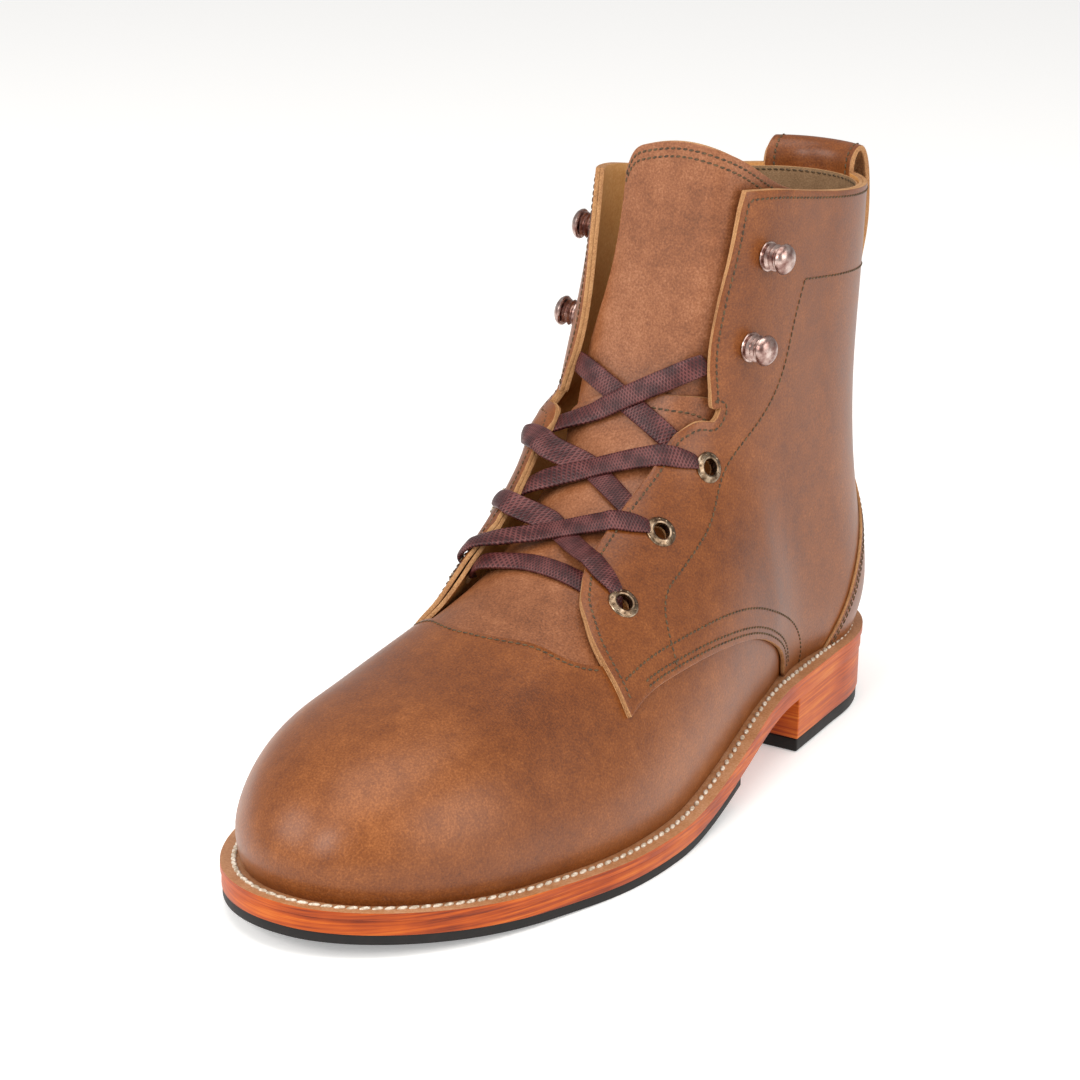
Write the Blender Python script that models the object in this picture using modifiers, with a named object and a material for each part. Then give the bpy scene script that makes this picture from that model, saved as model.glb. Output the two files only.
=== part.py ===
"""Lace-up leather boot for the left foot: the pieces that a bootmaker puts together, at real size.

The drawing frame is in millimetres: x runs forward from the back of the welt, y runs to the wearer's left
(the lateral side) and z runs up from the floor. The finished pieces are in metres, and their common parent
stands them with the origin under the middle of the boot.
"""
import bmesh
import bpy
import numpy as np
from mathutils import Matrix, Vector

MM = 0.001
GAP = 0.3

# Sole: heights are counted from the sole line, which is the underside of the rubber forefoot sole
WELT_LENGTH = 302.0
WELT_MARGIN = 8.0
HEEL_CENTRE = 42.0
TOE_CENTRE = 238.0
END_ROUND = 2.1
HEEL_RISE = 15.4
ARCH_BACK = 85.0
ARCH_FRONT = 178.0
SPRING_START = 205.0
TOE_SPRING = 5.5
RUBBER = 2.6
LEATHER = 4.2
WELT = 2.2
RUBBER_BACK = 132.0
HEEL_BREAST = 80.0
TOP_LIFT = 4.5
INSOLE = 3.2
WELT_LEDGE = 1.2
SOLE_INSET = 0.6
RUBBER_INSET = 1.0
HEEL_INSET = 1.0
LIFT_INSET = 1.5
LIFT_BREAST_SET = 0.5
OUTLINE_POINTS = 72
INNER_POINTS = 60
SLAB_STEPS = 28
SLAB_SPARE = 10.0
SLAB_WIDTH = 140.0
OUTLINE_CUT = (-20.0, 60.0)

RUBBER_TOP = RUBBER
LEATHER_LOW = RUBBER_TOP + GAP
LEATHER_TOP = LEATHER_LOW + LEATHER
WELT_LOW = LEATHER_TOP + GAP
WELT_TOP = WELT_LOW + WELT
FEATHER = WELT_TOP + GAP

# Welt outline: half widths on both sides of the boot's long axis
OUTLINE = (
    # x, lateral, medial
    (0.0, 34.5, 36.5),
    (40.0, 36.0, 37.5),
    (65.0, 39.0, 38.5),
    (95.0, 43.0, 36.5),
    (122.0, 48.0, 35.5),
    (152.0, 53.0, 39.0),
    (182.0, 56.5, 46.5),
    (210.0, 56.0, 53.0),
    (238.0, 50.5, 52.5),
    (266.0, 45.5, 48.5),
    (302.0, 39.0, 45.0),
)

# Last, foot part: upright sections. The half widths come from the outline
SIDE_SWELL = 3.0
SWELL_SHARE = 0.35
SWELL_WIDTH = 48.0
FOOT_HEEL_START = 70.0
FOOT_HEEL_END = 14.0
FADE_START = 100.0
FADE_LENGTH = 70.0
FADE_AMOUNT = 0.5
FOOT_SECTIONS = (
    # x, ridge, roundness
    (40.0, 90.0, 2.0),
    (100.0, 108.0, 2.0),
    (120.0, 106.0, 2.0),
    (135.0, 99.5, 2.0),
    (150.0, 91.0, 2.0),
    (165.0, 83.0, 2.0),
    (185.0, 74.0, 2.05),
    (205.0, 67.0, 2.1),
    (230.0, 60.0, 2.2),
    (260.0, 55.0, 2.4),
    (302.0, 51.0, 2.5),
)

# Last, leg part: level sections
LEG_BACK_ROUND = 2.2
LEG_SECTIONS = (
    # z, back, widest, front, half_width, front_round
    (20.0, 9.5, 46.0, 126.0, 29.5, 2.2),
    (38.0, 6.5, 46.0, 128.0, 31.5, 2.2),
    (55.0, 7.0, 48.0, 128.0, 31.0, 2.2),
    (75.0, 10.5, 52.0, 127.0, 29.5, 2.3),
    (95.0, 12.5, 55.0, 124.0, 28.5, 2.6),
    (115.0, 12.0, 57.0, 120.0, 28.0, 3.1),
    (140.0, 10.0, 57.0, 114.5, 28.0, 3.8),
    (165.0, 8.5, 56.0, 111.0, 28.0, 4.2),
    (190.0, 8.0, 55.0, 109.5, 28.0, 4.2),
    (215.0, 8.0, 55.0, 109.0, 28.0, 4.2),
)
INSTEP_BLEND = 9.0

# Instep: its medial side is fuller. The swelling's middle (x, z), its direction down the instep, and its reach
FULLNESS = 8.0
FULLNESS_MIDDLE = (122.0, 100.0)
FULLNESS_SLOPE = (0.8, -0.6)
FULLNESS_REACH = (36.0, 30.0)
FULLNESS_SIDES = (12.0, -28.0)
FULLNESS_FOOT = (40.0, 70.0)
FULLNESS_WAY = (0.35, -0.93)

# Levels: loops round the last from the feather edge up. The first four columns are heights over the feather
# edge at four places along the boot, and front_centre is where the loop's front arc is centred
LEVEL_PLACES = (0.0, 110.0, 200.0, 300.0)
HEEL_ORIGIN = 44.0
HEEL_ARC_END = 0.15
FRONT_ARC_START = 0.85
FARTHEST = 160.0
HALVINGS = 34
LEVELS = (
    # heel, ankle, ball, toe, front_centre
    (0.0, 0.0, 0.0, 0.0, 240.0),
    (9.0, 9.0, 9.0, 9.0, 240.0),
    (19.0, 19.0, 19.0, 18.0, 240.0),
    (29.0, 29.0, 30.0, 27.0, 236.0),
    (40.0, 42.0, 40.0, 34.0, 220.0),
    (53.0, 54.0, 49.0, 40.0, 195.0),
    (68.0, 66.0, 57.5, 45.0, 160.0),
    (83.0, 78.0, 66.0, 50.0, 120.0),
    (99.0, 94.0, 75.0, 55.0, 90.0),
    (115.0, 115.0, 90.0, 60.0, 70.0),
    (128.0, 135.0, 120.0, 80.0, 64.0),
    (146.0, 160.5, 167.0, 120.0, 62.0),
    (158.0, 174.0, 178.0, 150.0, 61.0),
)
COLLAR_LEVEL = 11.0

# Upper: wall thicknesses, counted outward from the last
VAMP_WALL = 1.8
QUARTER_WALL = 3.0
COUNTER_WALL = 4.0
LAYER_BITE = 0.9
VAMP_SPARE = 3.0
QUARTER_SPARE = 3.6
COUNTER_SPARE = 4.2
UPPER_AROUND = 48
UPPER_ROWS = 16
COUNTER_ACROSS = 14
FEATHER_CUT = 12.0
COLLAR_CUT = 30.0
COLLAR_CUT_STEPS = 12
COLLAR_CUT_LENGTH = (-30.0, 150.0)
COLLAR_CUT_WIDTH = 120.0

# Quarter: side view (x, z) of the wing's edge, from the welt forward to the tip, and of the facing above it
WING = (
    (82.0, 14.0),
    (82.5, 25.0),
    (90.0, 34.5),
    (101.0, 42.5),
    (116.0, 48.3),
    (132.0, 50.6),
    (150.0, 51.3),
    (166.0, 50.6),
    (178.0, 49.0),
    (192.5, 45.0),
)
FACING_FOOT = (
    (192.5, 45.0),
    (192.3, 51.0),
    (190.7, 58.0),
    (187.5, 64.5),
    (182.5, 71.0),
    (177.0, 78.0),
)

WING_POINTS = 18
FACING_POINTS = 8
PATTERN_TOP = 230.0
PATTERN_BACK = -30.0
PATTERN_DEPTH = 90.0

# Throat: top view (x, y) of its lateral half, from the vamp's seam round to the collar's corner
THROAT = (
    (203.0, 0.0),
    (202.0, 12.0),
    (199.5, 21.0),
    (190.0, 23.5),
    (183.0, 21.0),
    (175.0, 16.4),
    (164.0, 13.8),
    (147.0, 12.8),
    (130.0, 13.8),
    (120.0, 18.4),
    (112.0, 22.4),
    (105.0, 22.8),
    (96.0, 25.0),
    (86.0, 25.0),
)
THROAT_CUT = (40.0, 240.0)
THROAT_DROP = 5.0
THROAT_STILL = 104.0
THROAT_EASE = 14.0

# Counter and backstay: how far round the heel they reach at each level
COUNTER = (
    # level, reach
    (0.0, 0.152),
    (2.0, 0.138),
    (4.0, 0.100),
    (5.3, 0.066),
    (6.5, 0.040),
    (8.0, 0.034),
    (11.0, 0.034),
)

# Tongue
TONGUE_THICK = 2.2
TONGUE_CLEAR = 0.9
TONGUE_REACH = 0.11
TONGUE_SPREAD = (0.06, 0.02)
TONGUE_SPREAD_LEVELS = (8.0, 11.0)
TONGUE_FOOT_LEVEL = 5.6
TONGUE_FOOT_DROP = 0.9
TONGUE_FOOT_SPREAD = 0.06
TONGUE_FOOT_LEVELS = (4.7, 6.8)
TONGUE_TOP_LEVEL = 11.85
TONGUE_SHOULDER = 0.95
TONGUE_ROUND = 2.5
TONGUE_STEPS = (12, 16)

# Pull loop: its middle line in side view, and how much of the backstay's round it keeps
PULL_HALF_WIDTH = 15.0
PULL_THICK = 1.8
PULL_STEPS = (6, 22)
PULL_LINE = (
    # x, z, bow
    (6.9, 97.0, 1.0),
    (6.7, 110.0, 1.0),
    (5.3, 124.0, 1.0),
    (1.8, 140.0, 0.92),
    (-1.8, 154.0, 0.78),
    (-3.0, 166.0, 0.7),
    (-1.2, 175.5, 0.7),
    (2.6, 179.4, 0.75),
    (5.6, 177.6, 0.9),
    (6.4, 172.9, 1.0),
)

# Fittings: side view of the lace places on the last, the same on both sides, and the height over the quarter
TURN_STEPS = 12
MERGE = 0.00005
FITTINGS = (
    # kind, x, z, lateral_lift, medial_lift
    ("eyelet", 170.4, 69.8, 0.9, 1.1),
    ("eyelet", 143.8, 84.6, 0.7, 1.3),
    ("eyelet", 117.0, 99.2, 1.7, 0.6),
    ("hook", 99.4, 134.7, 0.6, 0.6),
    ("hook", 93.4, 161.9, 0.6, 0.6),
)
EYELET_PROFILE = (
    # radius, height
    (3.2, 1.1),
    (4.2, 0.9),
    (4.5, 0.5),
    (4.4, 0.0),
    (2.6, 0.0),
    (2.7, 0.8),
)
HOOK_PROFILE = (
    # radius, height
    (0.0, 8.0),
    (2.6, 7.6),
    (4.3, 6.4),
    (4.6, 5.4),
    (4.2, 4.8),
    (1.9, 4.6),
    (1.7, 1.4),
    (3.6, 0.9),
    (3.9, 0.0),
    (0.0, 0.0),
)

# Lace
LACE_WIDTH = 7.5
LACE_THICK = 1.2
LACE_SPAN = 14.0
LACE_STEPS = (2, 12)
LACE_CROSSINGS = (
    # name, around, level, far_around, far_level, lift, dip, rise
    ("lace_crossing_1", 0.390, 6.24, 0.392, 6.80, 4.9, 2.6, 0.55),
    ("lace_crossing_2", 0.440, 7.36, 0.364, 7.36, 5.4, 2.6, 0.55),
    ("lace_crossing_3", 0.442, 7.95, 0.442, 8.85, 0.8, 0.0, 0.3),
)
BAR_LEVEL = 6.65
BAR_REACH = 0.055
BAR_LIFT = 0.5
BAR_SLOPE = 0.4

COLOURS = {
    # red, green, blue, roughness, metallic
    "leather": (0.245, 0.105, 0.045, 0.5, 0.0),
    "natural": (0.500, 0.270, 0.120, 0.6, 0.0),
    "edge": (0.480, 0.120, 0.030, 0.35, 0.0),
    "rubber": (0.020, 0.016, 0.014, 0.7, 0.0),
    "lining": (0.560, 0.330, 0.140, 0.6, 0.0),
    "lace": (0.065, 0.022, 0.024, 0.4, 0.0),
    "metal": (0.230, 0.140, 0.085, 0.3, 1.0),
}


class Curve:
    """A smooth line through one column of a table (a natural cubic spline)."""

    def __init__(self, places, values):
        self.places = np.array(places, float)
        self.values = np.array(values, float)
        step = np.diff(self.places)
        slope = np.diff(self.values) / step
        rows = np.eye(len(self.places))
        right = np.zeros(len(self.places))
        for i in range(1, len(step)):
            rows[i, i - 1:i + 2] = step[i - 1], 2 * (step[i - 1] + step[i]), step[i]
            right[i] = 6 * (slope[i] - slope[i - 1])
        self.bend = np.linalg.solve(rows, right)

    def __call__(self, at):
        at = np.clip(np.asarray(at, float), self.places[0], self.places[-1])
        i = np.clip(np.searchsorted(self.places, at) - 1, 0, len(self.places) - 2)
        span = self.places[i + 1] - self.places[i]
        b = (at - self.places[i]) / span
        a = 1 - b
        straight = a * self.values[i] + b * self.values[i + 1]
        curved = (a ** 3 - a) * self.bend[i] + (b ** 3 - b) * self.bend[i + 1]
        return straight + curved * span ** 2 / 6


def table_curves(table):
    """One curve for each column after the first, which holds the places."""
    rows = np.array(table, float)
    return [Curve(rows[:, 0], rows[:, k]) for k in range(1, rows.shape[1])]


def smooth_path(points, count):
    """Points spaced along a smooth line through a few drawn ones."""
    rows = np.array(points, float)
    length = np.r_[0, np.cumsum(np.linalg.norm(np.diff(rows, axis=0), axis=1))]
    at = np.linspace(0, length[-1], count)
    return np.stack([Curve(length, rows[:, k])(at) for k in range(rows.shape[1])], -1)


def ease(t):
    t = np.clip(t, 0.0, 1.0)
    return t * t * (3 - 2 * t)


# The last


lateral_half, medial_half = table_curves(OUTLINE)
ridge_height, foot_roundness = table_curves(FOOT_SECTIONS)
leg_back, leg_widest, leg_front, leg_half, leg_front_round = table_curves(LEG_SECTIONS)
(counter_reach,) = table_curves(COUNTER)
level_curves = table_curves([(k, *row) for k, row in enumerate(LEVELS)])


def sole_line(x):
    """Underside of the forefoot sole: flat under the ball, sprung at the toe, raised to the heel seat."""
    arch = ease((ARCH_FRONT - x) / (ARCH_FRONT - ARCH_BACK))
    spring = np.clip((x - SPRING_START) / (WELT_LENGTH - SPRING_START), 0.0, 1.1) ** 2
    return HEEL_RISE * arch + TOE_SPRING * spring


def foot_radius(x, y, z):
    """1 on the foot part's surface, less inside it, more outside it."""
    base = sole_line(x) + FEATHER
    rise = np.clip((z - base) / (ridge_height(x) - base), 0.0, None)
    half = np.where(y > 0, lateral_half(x), medial_half(x)) - WELT_MARGIN + SIDE_SWELL
    toe = np.clip(x - TOE_CENTRE, 0.0, None) / (WELT_LENGTH - WELT_MARGIN + SIDE_SWELL - TOE_CENTRE)
    heel = np.clip(FOOT_HEEL_START - x, 0.0, None) / (FOOT_HEEL_START - FOOT_HEEL_END)
    across = (toe ** END_ROUND + heel ** END_ROUND + np.abs(y / half) ** END_ROUND) ** (1 / END_ROUND)
    tuck = 1 - SIDE_SWELL / SWELL_WIDTH * np.clip(1 - rise / SWELL_SHARE, 0.0, None) ** 2
    n = foot_roundness(x)
    fade_into_leg = 1 + FADE_AMOUNT * ease((FADE_START - x) / FADE_LENGTH)
    return ((across / tuck) ** n + rise ** n) ** (1 / n) * fade_into_leg


def leg_radius(x, y, z):
    """1 on the leg part's surface, less inside it, more outside it."""
    middle, half = leg_widest(z), leg_half(z)
    behind = x < middle
    depth = np.where(behind, middle - leg_back(z), leg_front(z) - middle)
    n = np.where(behind, LEG_BACK_ROUND, leg_front_round(z))
    return (np.abs((x - middle) / depth) ** n + np.abs(y / half) ** n) ** (1 / n)


def instep_fullness(x, y, z):
    """How far the last is swelled at a place, in millimetres."""
    ahead = x - FULLNESS_MIDDLE[0]
    above = z - FULLNESS_MIDDLE[1]
    along = (ahead * FULLNESS_SLOPE[0] + above * FULLNESS_SLOPE[1]) / FULLNESS_REACH[0]
    across = (above * FULLNESS_SLOPE[0] - ahead * FULLNESS_SLOPE[1]) / FULLNESS_REACH[1]
    lateral, medial = FULLNESS_SIDES
    low, high = FULLNESS_FOOT
    side = ease((lateral - y) / (lateral - medial))
    return FULLNESS * np.exp(-(along ** 2 + across ** 2) / 2) * side * ease((z - low) / (high - low))


def last_radius(x, y, z):
    """Foot and leg blended into one last, with a soft instep that is fuller on its medial side."""
    full = instep_fullness(x, y, z)
    x = x - full * FULLNESS_WAY[0]
    y = y - full * FULLNESS_WAY[1]
    total = foot_radius(x, y, z) ** -INSTEP_BLEND + leg_radius(x, y, z) ** -INSTEP_BLEND
    return total ** (-1 / INSTEP_BLEND)


def surface_reach(place, count):
    """How far place(t) runs before it leaves the last."""
    low = np.zeros(count)
    high = np.full(count, FARTHEST)
    for _ in range(HALVINGS):
        middle = (low + high) / 2
        outside = last_radius(*place(middle)) > 1
        high = np.where(outside, middle, high)
        low = np.where(outside, low, middle)
    return low


def last_normal(points):
    """Outward direction at points on the last."""
    x, y, z = np.moveaxis(points, -1, 0)
    step = 0.05
    slope = np.stack([
        last_radius(x + step, y, z) - last_radius(x - step, y, z),
        last_radius(x, y + step, z) - last_radius(x, y - step, z),
        last_radius(x, y, z + step) - last_radius(x, y, z - step),
    ], -1)
    return slope / np.linalg.norm(slope, axis=-1, keepdims=True)


def level_height(level, x):
    """Height of a level loop at x: a cubic through its four stated places."""
    height = sole_line(x) + FEATHER
    for i, here in enumerate(LEVEL_PLACES):
        weight = np.ones_like(x)
        for other in LEVEL_PLACES:
            if other != here:
                weight = weight * (x - other) / (here - other)
        height = height + level_curves[i](level) * weight
    return height


def last_point(around, level, lift):
    """A point on the last, moved outward by lift. around runs 0..1 from the back by the lateral side."""
    around = np.mod(around, 1.0)
    side = np.where(around < 0.5, 1.0, -1.0)
    forward = np.where(around < 0.5, 2 * around, 2 - 2 * around)
    angle = np.pi * (1 - forward)
    share = ease((forward - HEEL_ARC_END) / (FRONT_ARC_START - HEEL_ARC_END))
    start = HEEL_ORIGIN + (level_curves[4](level) - HEEL_ORIGIN) * share

    def place(t):
        x = start + np.cos(angle) * t
        return x, side * np.sin(angle) * t, level_height(level, x)

    reach = surface_reach(place, len(start))
    points = np.stack(place(reach), -1)
    return points + last_normal(points) * np.reshape(lift, (-1, 1))


def side_point(x, z, side):
    """The point of the last over a side-view place on one side, and its outward direction."""
    x = np.array([x])
    z = np.array([z])
    reach = surface_reach(lambda t: (x, side * t, z), 1)
    point = np.stack([x, side * reach, z], -1)
    return point[0], last_normal(point)[0]


def outline_loop(inset, count):
    """The welt's outline, moved inward: points from the back round by the lateral side."""
    forward = (1 - np.cos(np.linspace(0, np.pi, count // 2 + 1))) / 2
    x = forward * WELT_LENGTH
    heel = np.clip((HEEL_CENTRE - x) / HEEL_CENTRE, 0, 1)
    toe = np.clip((x - TOE_CENTRE) / (WELT_LENGTH - TOE_CENTRE), 0, 1)
    close = np.clip(1 - heel ** END_ROUND - toe ** END_ROUND, 0, None) ** (1 / END_ROUND)
    lateral = np.stack([x, lateral_half(x) * close], -1)
    medial = np.stack([x, -medial_half(x) * close], -1)[-2:0:-1]
    loop = np.concatenate([lateral, medial])
    along = np.roll(loop, -1, 0) - np.roll(loop, 1, 0)
    inward = np.stack([along[:, 1], -along[:, 0]], -1)
    return loop + inset * inward / np.linalg.norm(inward, axis=1, keepdims=True)


# Blender helpers


def make_collection(name):
    collection = bpy.data.collections.new(name)
    bpy.context.scene.collection.children.link(collection)
    return collection


def make_material(name):
    red, green, blue, roughness, metallic = COLOURS[name]
    material = bpy.data.materials.new(name)
    material.use_nodes = True
    shader = material.node_tree.nodes["Principled BSDF"]
    shader.inputs["Base Color"].default_value = (red, green, blue, 1.0)
    shader.inputs["Roughness"].default_value = roughness
    shader.inputs["Metallic"].default_value = metallic
    return material


def add_object(name, mesh, collection, material=None):
    piece = bpy.data.objects.new(name, mesh)
    collection.objects.link(piece)
    if material:
        mesh.materials.append(material)
    return piece


def as_cutter(piece):
    piece.hide_render = True
    piece.display_type = "WIRE"
    return piece


def add_sheet(name, across, along, place, collection, material=None):
    """A grid primitive laid on the boot by place(s, t), with s and t from 0 to 1."""
    mesh = bpy.data.meshes.new(name)
    grid = bmesh.new()
    bmesh.ops.create_grid(grid, x_segments=across, y_segments=along, size=0.5)
    corners = np.array([vert.co[:2] for vert in grid.verts]) + 0.5
    for vert, point in zip(grid.verts, place(corners[:, 0], corners[:, 1])):
        vert.co = Vector(point) * MM
    bmesh.ops.remove_doubles(grid, verts=grid.verts, dist=MERGE)
    grid.to_mesh(mesh)
    grid.free()
    mesh.shade_smooth()
    return add_object(name, mesh, collection, material)


def add_solidify(piece, thickness, offset=0.0):
    modifier = piece.modifiers.new("Thickness", "SOLIDIFY")
    modifier.thickness = thickness * MM
    modifier.offset = offset
    modifier.use_even_offset = True
    return modifier


def add_boolean(piece, operation, other):
    modifier = piece.modifiers.new(operation.title(), "BOOLEAN")
    modifier.operation = operation
    modifier.object = other


def add_prism(name, outline, low, high, collection, matrix=Matrix.Identity(4), material=None):
    """A flat outline filled and extruded from low to high along its own z."""
    curve = bpy.data.curves.new(name, "CURVE")
    curve.dimensions = "2D"
    curve.fill_mode = "BOTH"
    curve.extrude = (high - low) / 2 * MM
    spline = curve.splines.new("POLY")
    spline.points.add(len(outline) - 1)
    for corner, (across, up) in zip(spline.points, outline):
        corner.co = (across * MM, up * MM, 0, 1)
    spline.use_cyclic_u = True
    drawn = bpy.data.objects.new(name + "_outline", curve)
    collection.objects.link(drawn)
    bpy.context.view_layer.update()
    depsgraph = bpy.context.evaluated_depsgraph_get()
    mesh = bpy.data.meshes.new_from_object(drawn.evaluated_get(depsgraph))
    bpy.data.objects.remove(drawn)
    mesh.name = name
    solid = bmesh.new()
    solid.from_mesh(mesh)
    bmesh.ops.remove_doubles(solid, verts=solid.verts, dist=MERGE)
    bmesh.ops.recalc_face_normals(solid, faces=solid.faces)
    bmesh.ops.translate(solid, verts=solid.verts, vec=(0, 0, (low + high) / 2 * MM))
    bmesh.ops.transform(solid, verts=solid.verts, matrix=matrix)
    solid.to_mesh(mesh)
    solid.free()
    mesh.materials.clear()
    return add_object(name, mesh, collection, material)


def add_turned(name, profile, point, normal, collection, material):
    """A turned fitting: the profile's axis stands on the surface at point."""
    mesh = bpy.data.meshes.new(name)
    line = bmesh.new()
    verts = [line.verts.new((radius * MM, 0, height * MM)) for radius, height in profile]
    for one, two in zip(verts, verts[1:]):
        line.edges.new((one, two))
    if profile[0][0] > 0:
        line.edges.new((verts[-1], verts[0]))
    line.to_mesh(mesh)
    line.free()
    piece = add_object(name, mesh, collection, material)
    screw = piece.modifiers.new("Turn", "SCREW")
    screw.steps = TURN_STEPS
    screw.render_steps = TURN_STEPS
    screw.use_merge_vertices = True
    screw.merge_threshold = MERGE
    upright = Vector(normal).to_track_quat("Z", "Y").to_matrix().to_4x4()
    piece.matrix_world = Matrix.Translation(Vector(point) * MM) @ upright
    return piece


# Soles


def sole_slab(name, low, high, collection, material=None):
    """A wide slab that follows the sole line between two heights over it."""

    def place(s, t):
        x = s * (WELT_LENGTH + 2 * SLAB_SPARE) - SLAB_SPARE
        return np.stack([x, (t - 0.5) * SLAB_WIDTH, sole_line(x) + (low + high) / 2], -1)

    slab = add_sheet(name, SLAB_STEPS, 1, place, collection, material)
    add_solidify(slab, high - low)
    return slab


def bent_plate(name, outline, low, high, parts, cutters, material, hole=None):
    """A plate that follows the sole line, cut to an outline seen from above."""
    plate = sole_slab(name, low, high, parts, material)
    cut = as_cutter(add_prism(name + "_outline", outline, *OUTLINE_CUT, cutters))
    add_boolean(plate, "INTERSECT", cut)
    if hole is not None:
        add_boolean(plate, "DIFFERENCE", as_cutter(add_prism(name + "_hole", hole, *OUTLINE_CUT, cutters)))
    return plate


def cut_outline(loop, keep_from, keep_to):
    """The part of an outline between two x places, closed by straight lines across the boot."""
    inside = (loop[:, 0] > keep_from) & (loop[:, 0] < keep_to)
    ends = []
    for x in (keep_from, keep_to):
        if loop[:, 0].min() < x < loop[:, 0].max():
            for side in (1, -1):
                half = loop[np.sign(loop[:, 1]) == side]
                half = half[np.argsort(half[:, 0])]
                ends.append((x, np.interp(x, half[:, 0], half[:, 1])))
    kept = np.concatenate([loop[inside], np.array(ends)])
    middle = kept.mean(axis=0)
    return kept[np.argsort(np.arctan2(kept[:, 1] - middle[1], kept[:, 0] - middle[0]))]


def add_soles(parts, cutters, materials):
    welt = outline_loop(0.0, OUTLINE_POINTS)
    sole = outline_loop(SOLE_INSET, OUTLINE_POINTS)
    inner = outline_loop(WELT_MARGIN + WELT_LEDGE, INNER_POINTS)
    rubber = cut_outline(outline_loop(RUBBER_INSET, OUTLINE_POINTS), RUBBER_BACK, 2 * WELT_LENGTH)
    bent_plate("rubber_forefoot_sole", rubber, 0.0, RUBBER_TOP, parts, cutters, materials["rubber"])
    bent_plate("leather_outsole", sole, LEATHER_LOW, LEATHER_TOP, parts, cutters, materials["edge"])
    bent_plate("welt", welt, WELT_LOW, WELT_TOP, parts, cutters, materials["natural"], hole=inner)
    insole = outline_loop(WELT_MARGIN + WELT_LEDGE + GAP, INNER_POINTS)
    bent_plate("insole", insole, WELT_LOW, WELT_LOW + INSOLE, parts, cutters, materials["lining"])
    seat = HEEL_RISE + LEATHER_LOW - GAP
    heel = cut_outline(outline_loop(HEEL_INSET, OUTLINE_POINTS), -WELT_LENGTH, HEEL_BREAST)
    lift = cut_outline(outline_loop(LIFT_INSET, OUTLINE_POINTS), -WELT_LENGTH, HEEL_BREAST - LIFT_BREAST_SET)
    add_prism("heel_stack", heel, TOP_LIFT, seat, parts, material=materials["edge"])
    add_prism("heel_top_lift", lift, 0.0, TOP_LIFT, parts, material=materials["rubber"])


# Upper


def with_spare(points, t, spare):
    """Lower the first row of a wall and raise its last row, so that both edges can be trimmed."""
    points[:, 2] -= spare * (t < 0.5 / UPPER_ROWS)
    points[:, 2] += spare * (t > 1 - 0.5 / UPPER_ROWS)
    return points


def wall_sheet(name, low, high, spare, collection, material=None):
    """The upper's own surface all round the last, with a wall, and spare at both edges to trim."""

    def place(s, t):
        points = last_point(s, t * COLLAR_LEVEL, (low + high) / 2)
        return with_spare(points, t, spare)

    wall = add_sheet(name, UPPER_AROUND, UPPER_ROWS, place, collection, material)
    add_solidify(wall, high - low)
    return wall


def quarter_outline():
    """Side view of both quarters: wing edge, facing foot, then round over the collar and behind the heel."""
    wing = smooth_path(WING, WING_POINTS)
    facing = smooth_path(FACING_FOOT, FACING_POINTS)[1:]
    front = FACING_FOOT[-1][0]
    low = WING[0][1]
    around = np.array([(front, PATTERN_TOP), (PATTERN_BACK, PATTERN_TOP), (PATTERN_BACK, low)])
    return np.concatenate([wing, facing, around])


def throat_outline():
    """Top view of the throat: its lateral half and the mirror image, moved out with the instep's fullness."""
    half = np.array(THROAT)
    medial = half[:0:-1] * (1, -1)
    height = ridge_height(medial[:, 0]) - THROAT_DROP
    full = instep_fullness(medial[:, 0], medial[:, 1], height) * ease((medial[:, 0] - THROAT_STILL) / THROAT_EASE)
    return np.concatenate([half, medial + full[:, None] * FULLNESS_WAY])


def counter_sheet(collection):
    """Counter and backstay: one piece lapped over the back of both quarters."""

    def place(s, t):
        level = t * COLLAR_LEVEL
        around = (2 * s - 1) * counter_reach(level)
        points = last_point(around, level, (QUARTER_WALL - LAYER_BITE + COUNTER_WALL) / 2)
        return with_spare(points, t, COUNTER_SPARE)

    sheet = add_sheet("counter_layer", COUNTER_ACROSS, UPPER_ROWS, place, collection)
    add_solidify(sheet, COUNTER_WALL - QUARTER_WALL + LAYER_BITE)
    return sheet


def collar_slab(collection):
    """What is trimmed off over the collar's line."""

    def place(s, t):
        back, front = COLLAR_CUT_LENGTH
        x = back + (front - back) * s
        line = level_height(np.full_like(x, COLLAR_LEVEL), x)
        return np.stack([x, (t - 0.5) * COLLAR_CUT_WIDTH, line + COLLAR_CUT / 2], -1)

    slab = add_sheet("collar_cut", COLLAR_CUT_STEPS, 1, place, collection)
    add_solidify(slab, COLLAR_CUT)
    return slab


def add_upper(parts, cutters, materials):
    """One hollow wall: the vamp, thicker quarters lapped over it, a thicker counter, and the open throat."""
    upper = wall_sheet("upper", 0.0, VAMP_WALL, VAMP_SPARE, parts, materials["leather"])
    quarters = as_cutter(wall_sheet("quarter_layer", LAYER_BITE, QUARTER_WALL, QUARTER_SPARE, cutters))
    side_view = Matrix.Rotation(np.pi / 2, 4, "X")
    depth = PATTERN_DEPTH
    pattern = add_prism("quarter_pattern", quarter_outline(), -depth, depth, cutters, side_view)
    add_boolean(quarters, "INTERSECT", as_cutter(pattern))
    throat = as_cutter(add_prism("throat_cut", throat_outline(), *THROAT_CUT, cutters))
    feather = as_cutter(sole_slab("feather_cut", FEATHER - FEATHER_CUT, FEATHER, cutters))
    add_boolean(upper, "UNION", quarters)
    add_boolean(upper, "UNION", as_cutter(counter_sheet(cutters)))
    add_boolean(upper, "DIFFERENCE", throat)
    add_boolean(upper, "DIFFERENCE", feather)
    add_boolean(upper, "DIFFERENCE", as_cutter(collar_slab(cutters)))


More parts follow.
